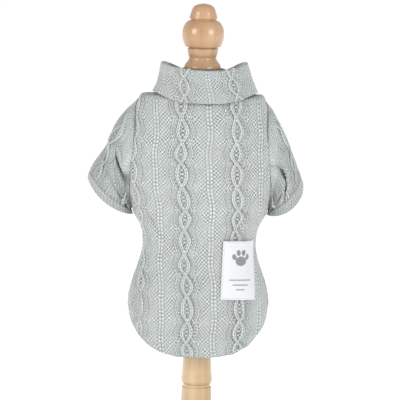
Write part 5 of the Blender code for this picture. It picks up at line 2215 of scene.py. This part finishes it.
# Sections of the arms from the root out, in the order of Arm.columns.
LEFT_SLEEVE = (
    (77.5, 371.5, 76.0, 262.9, 28.5, 0.0, 9.5),
    (84.0, 364.0, 76.2, 262.5, 31.5, 0.0, 11.0),
    (90.0, 356.5, 76.3, 262.0, 33.0, 0.5, 11.5),
    (95.3, 347.5, 76.4, 261.4, 33.5, 1.0, 11.0),
    (98.8, 338.0, 76.4, 260.7, 33.5, 1.5, 9.6),
    (103.0, 327.5, 76.4, 259.9, 33.0, 2.0, 7.8),
    (109.5, 317.5, 76.3, 259.1, 32.0, 2.5, 5.6),
    (116.5, 307.5, 76.1, 258.2, 30.5, 3.0, 3.8),
    (121.4, 297.5, 75.9, 257.2, 29.0, 3.5, 3.0),
)
LEFT_CUFF = (
    (121.55, 297.3, 75.92, 257.0, 28.95, 3.5, 2.95),
    (123.4, 291.0, 75.2, 254.0, 28.2, 4.0, 3.8),
    (121.6, 284.5, 74.0, 251.0, 27.6, 4.5, 5.0),
)
RIGHT_SLEEVE = (
    (76.2, 371.0, 75.8, 263.0, 29.0, 0.0, 9.0),
    (79.8, 363.5, 76.0, 262.6, 32.0, 0.5, 11.0),
    (84.5, 355.5, 76.1, 262.1, 34.0, 1.0, 12.0),
    (89.0, 346.0, 76.2, 261.5, 35.0, 2.0, 12.0),
    (92.6, 337.0, 76.2, 260.8, 35.5, 3.0, 10.6),
    (97.3, 327.0, 76.1, 260.0, 35.5, 4.0, 8.8),
    (101.8, 316.5, 75.9, 259.2, 35.0, 5.0, 6.6),
    (106.0, 305.5, 75.7, 258.3, 34.0, 6.0, 4.6),
    (110.0, 294.5, 75.5, 257.3, 33.0, 7.0, 3.8),
)
RIGHT_CUFF = (
    (110.15, 294.3, 75.52, 257.1, 32.95, 7.0, 3.75),
    (113.0, 286.0, 75.2, 254.6, 32.2, 8.0, 4.4),
    (112.4, 275.5, 74.6, 252.0, 31.4, 9.0, 5.2),
)
# Creases of one sleeve each, in the order of Sleeve.fold_columns.
LEFT_CREASES = (
    (124, -0.04, 0.20, 9, -6.0, -205),
    (142, -0.04, 0.20, 9, 1.6, -205),
    (106, -0.04, 0.20, 9, 1.6, -205),
    (146, 0.50, 1.12, 7, -4.6, 0),
)
RIGHT_CREASES = (
    (98, -0.10, 1.02, 4.8, -6.8, 2),
    (86, 0.04, 1.00, 7, 2.0, 2),
    (110, 0.04, 1.00, 7, 1.8, 2),
    (146, 0.55, 1.15, 7, -4.4, 0),
)


def main() -> None:
    """Build the finishes, the sweater, the form, the stand and the studio, in that order."""
    logging.basicConfig(level=logging.INFO, format="%(name)s: %(message)s")
    body, knit = TorsoShape(), KnitPattern()
    finish = KnitFinish(wide=knit.stitch, seed=knit.seed_pitch)
    yarn = finish.build()
    # The sleeves' yarn is a darker, calmer copy of the body's: painted shade that dims the sleeves under the
    # side lamps.
    shaded_arm_yarn = replace(finish, name="sage_knit_arms_shaded", quiet=0.10, patches=0.42, level=0.59).build()
    side_hem = float(body.hem_z(np.array(QUARTER)))
    for name, facing, hem, step, columns, creases in (
        ("back_panel", 0.0, body.hem_middle, 0.85, 248, BACK_CREASES),
        ("belly_panel", math.pi, side_hem, 1.0, 212, BELLY_CREASES),
    ):
        Panel(body, knit, name, facing, hem, step, columns, creases).build(yarn)
    arm_knit = replace(knit, cable_at=0.0, lean=0.0)
    for side, sleeve, cuff, creases in (
        (Side.LEFT, LEFT_SLEEVE, LEFT_CUFF, LEFT_CREASES),
        (Side.RIGHT, RIGHT_SLEEVE, RIGHT_CUFF, RIGHT_CREASES),
    ):
        Sleeve(Arm(side, body, sleeve), arm_knit, creases).build(shaded_arm_yarn)
        Cuff(Arm(side, body, cuff)).build(yarn)
    Collar(body, knit).build(yarn)
    Patch(body, knit).build(PatchFinish().build())
    form = DressForm(body)
    form.torso(JerseyFinish("form_cover").build())
    form.cap(JerseyFinish("cap_cover").build())
    Stand().build()
    Studio().build()


if __name__ == "__main__":
    main()
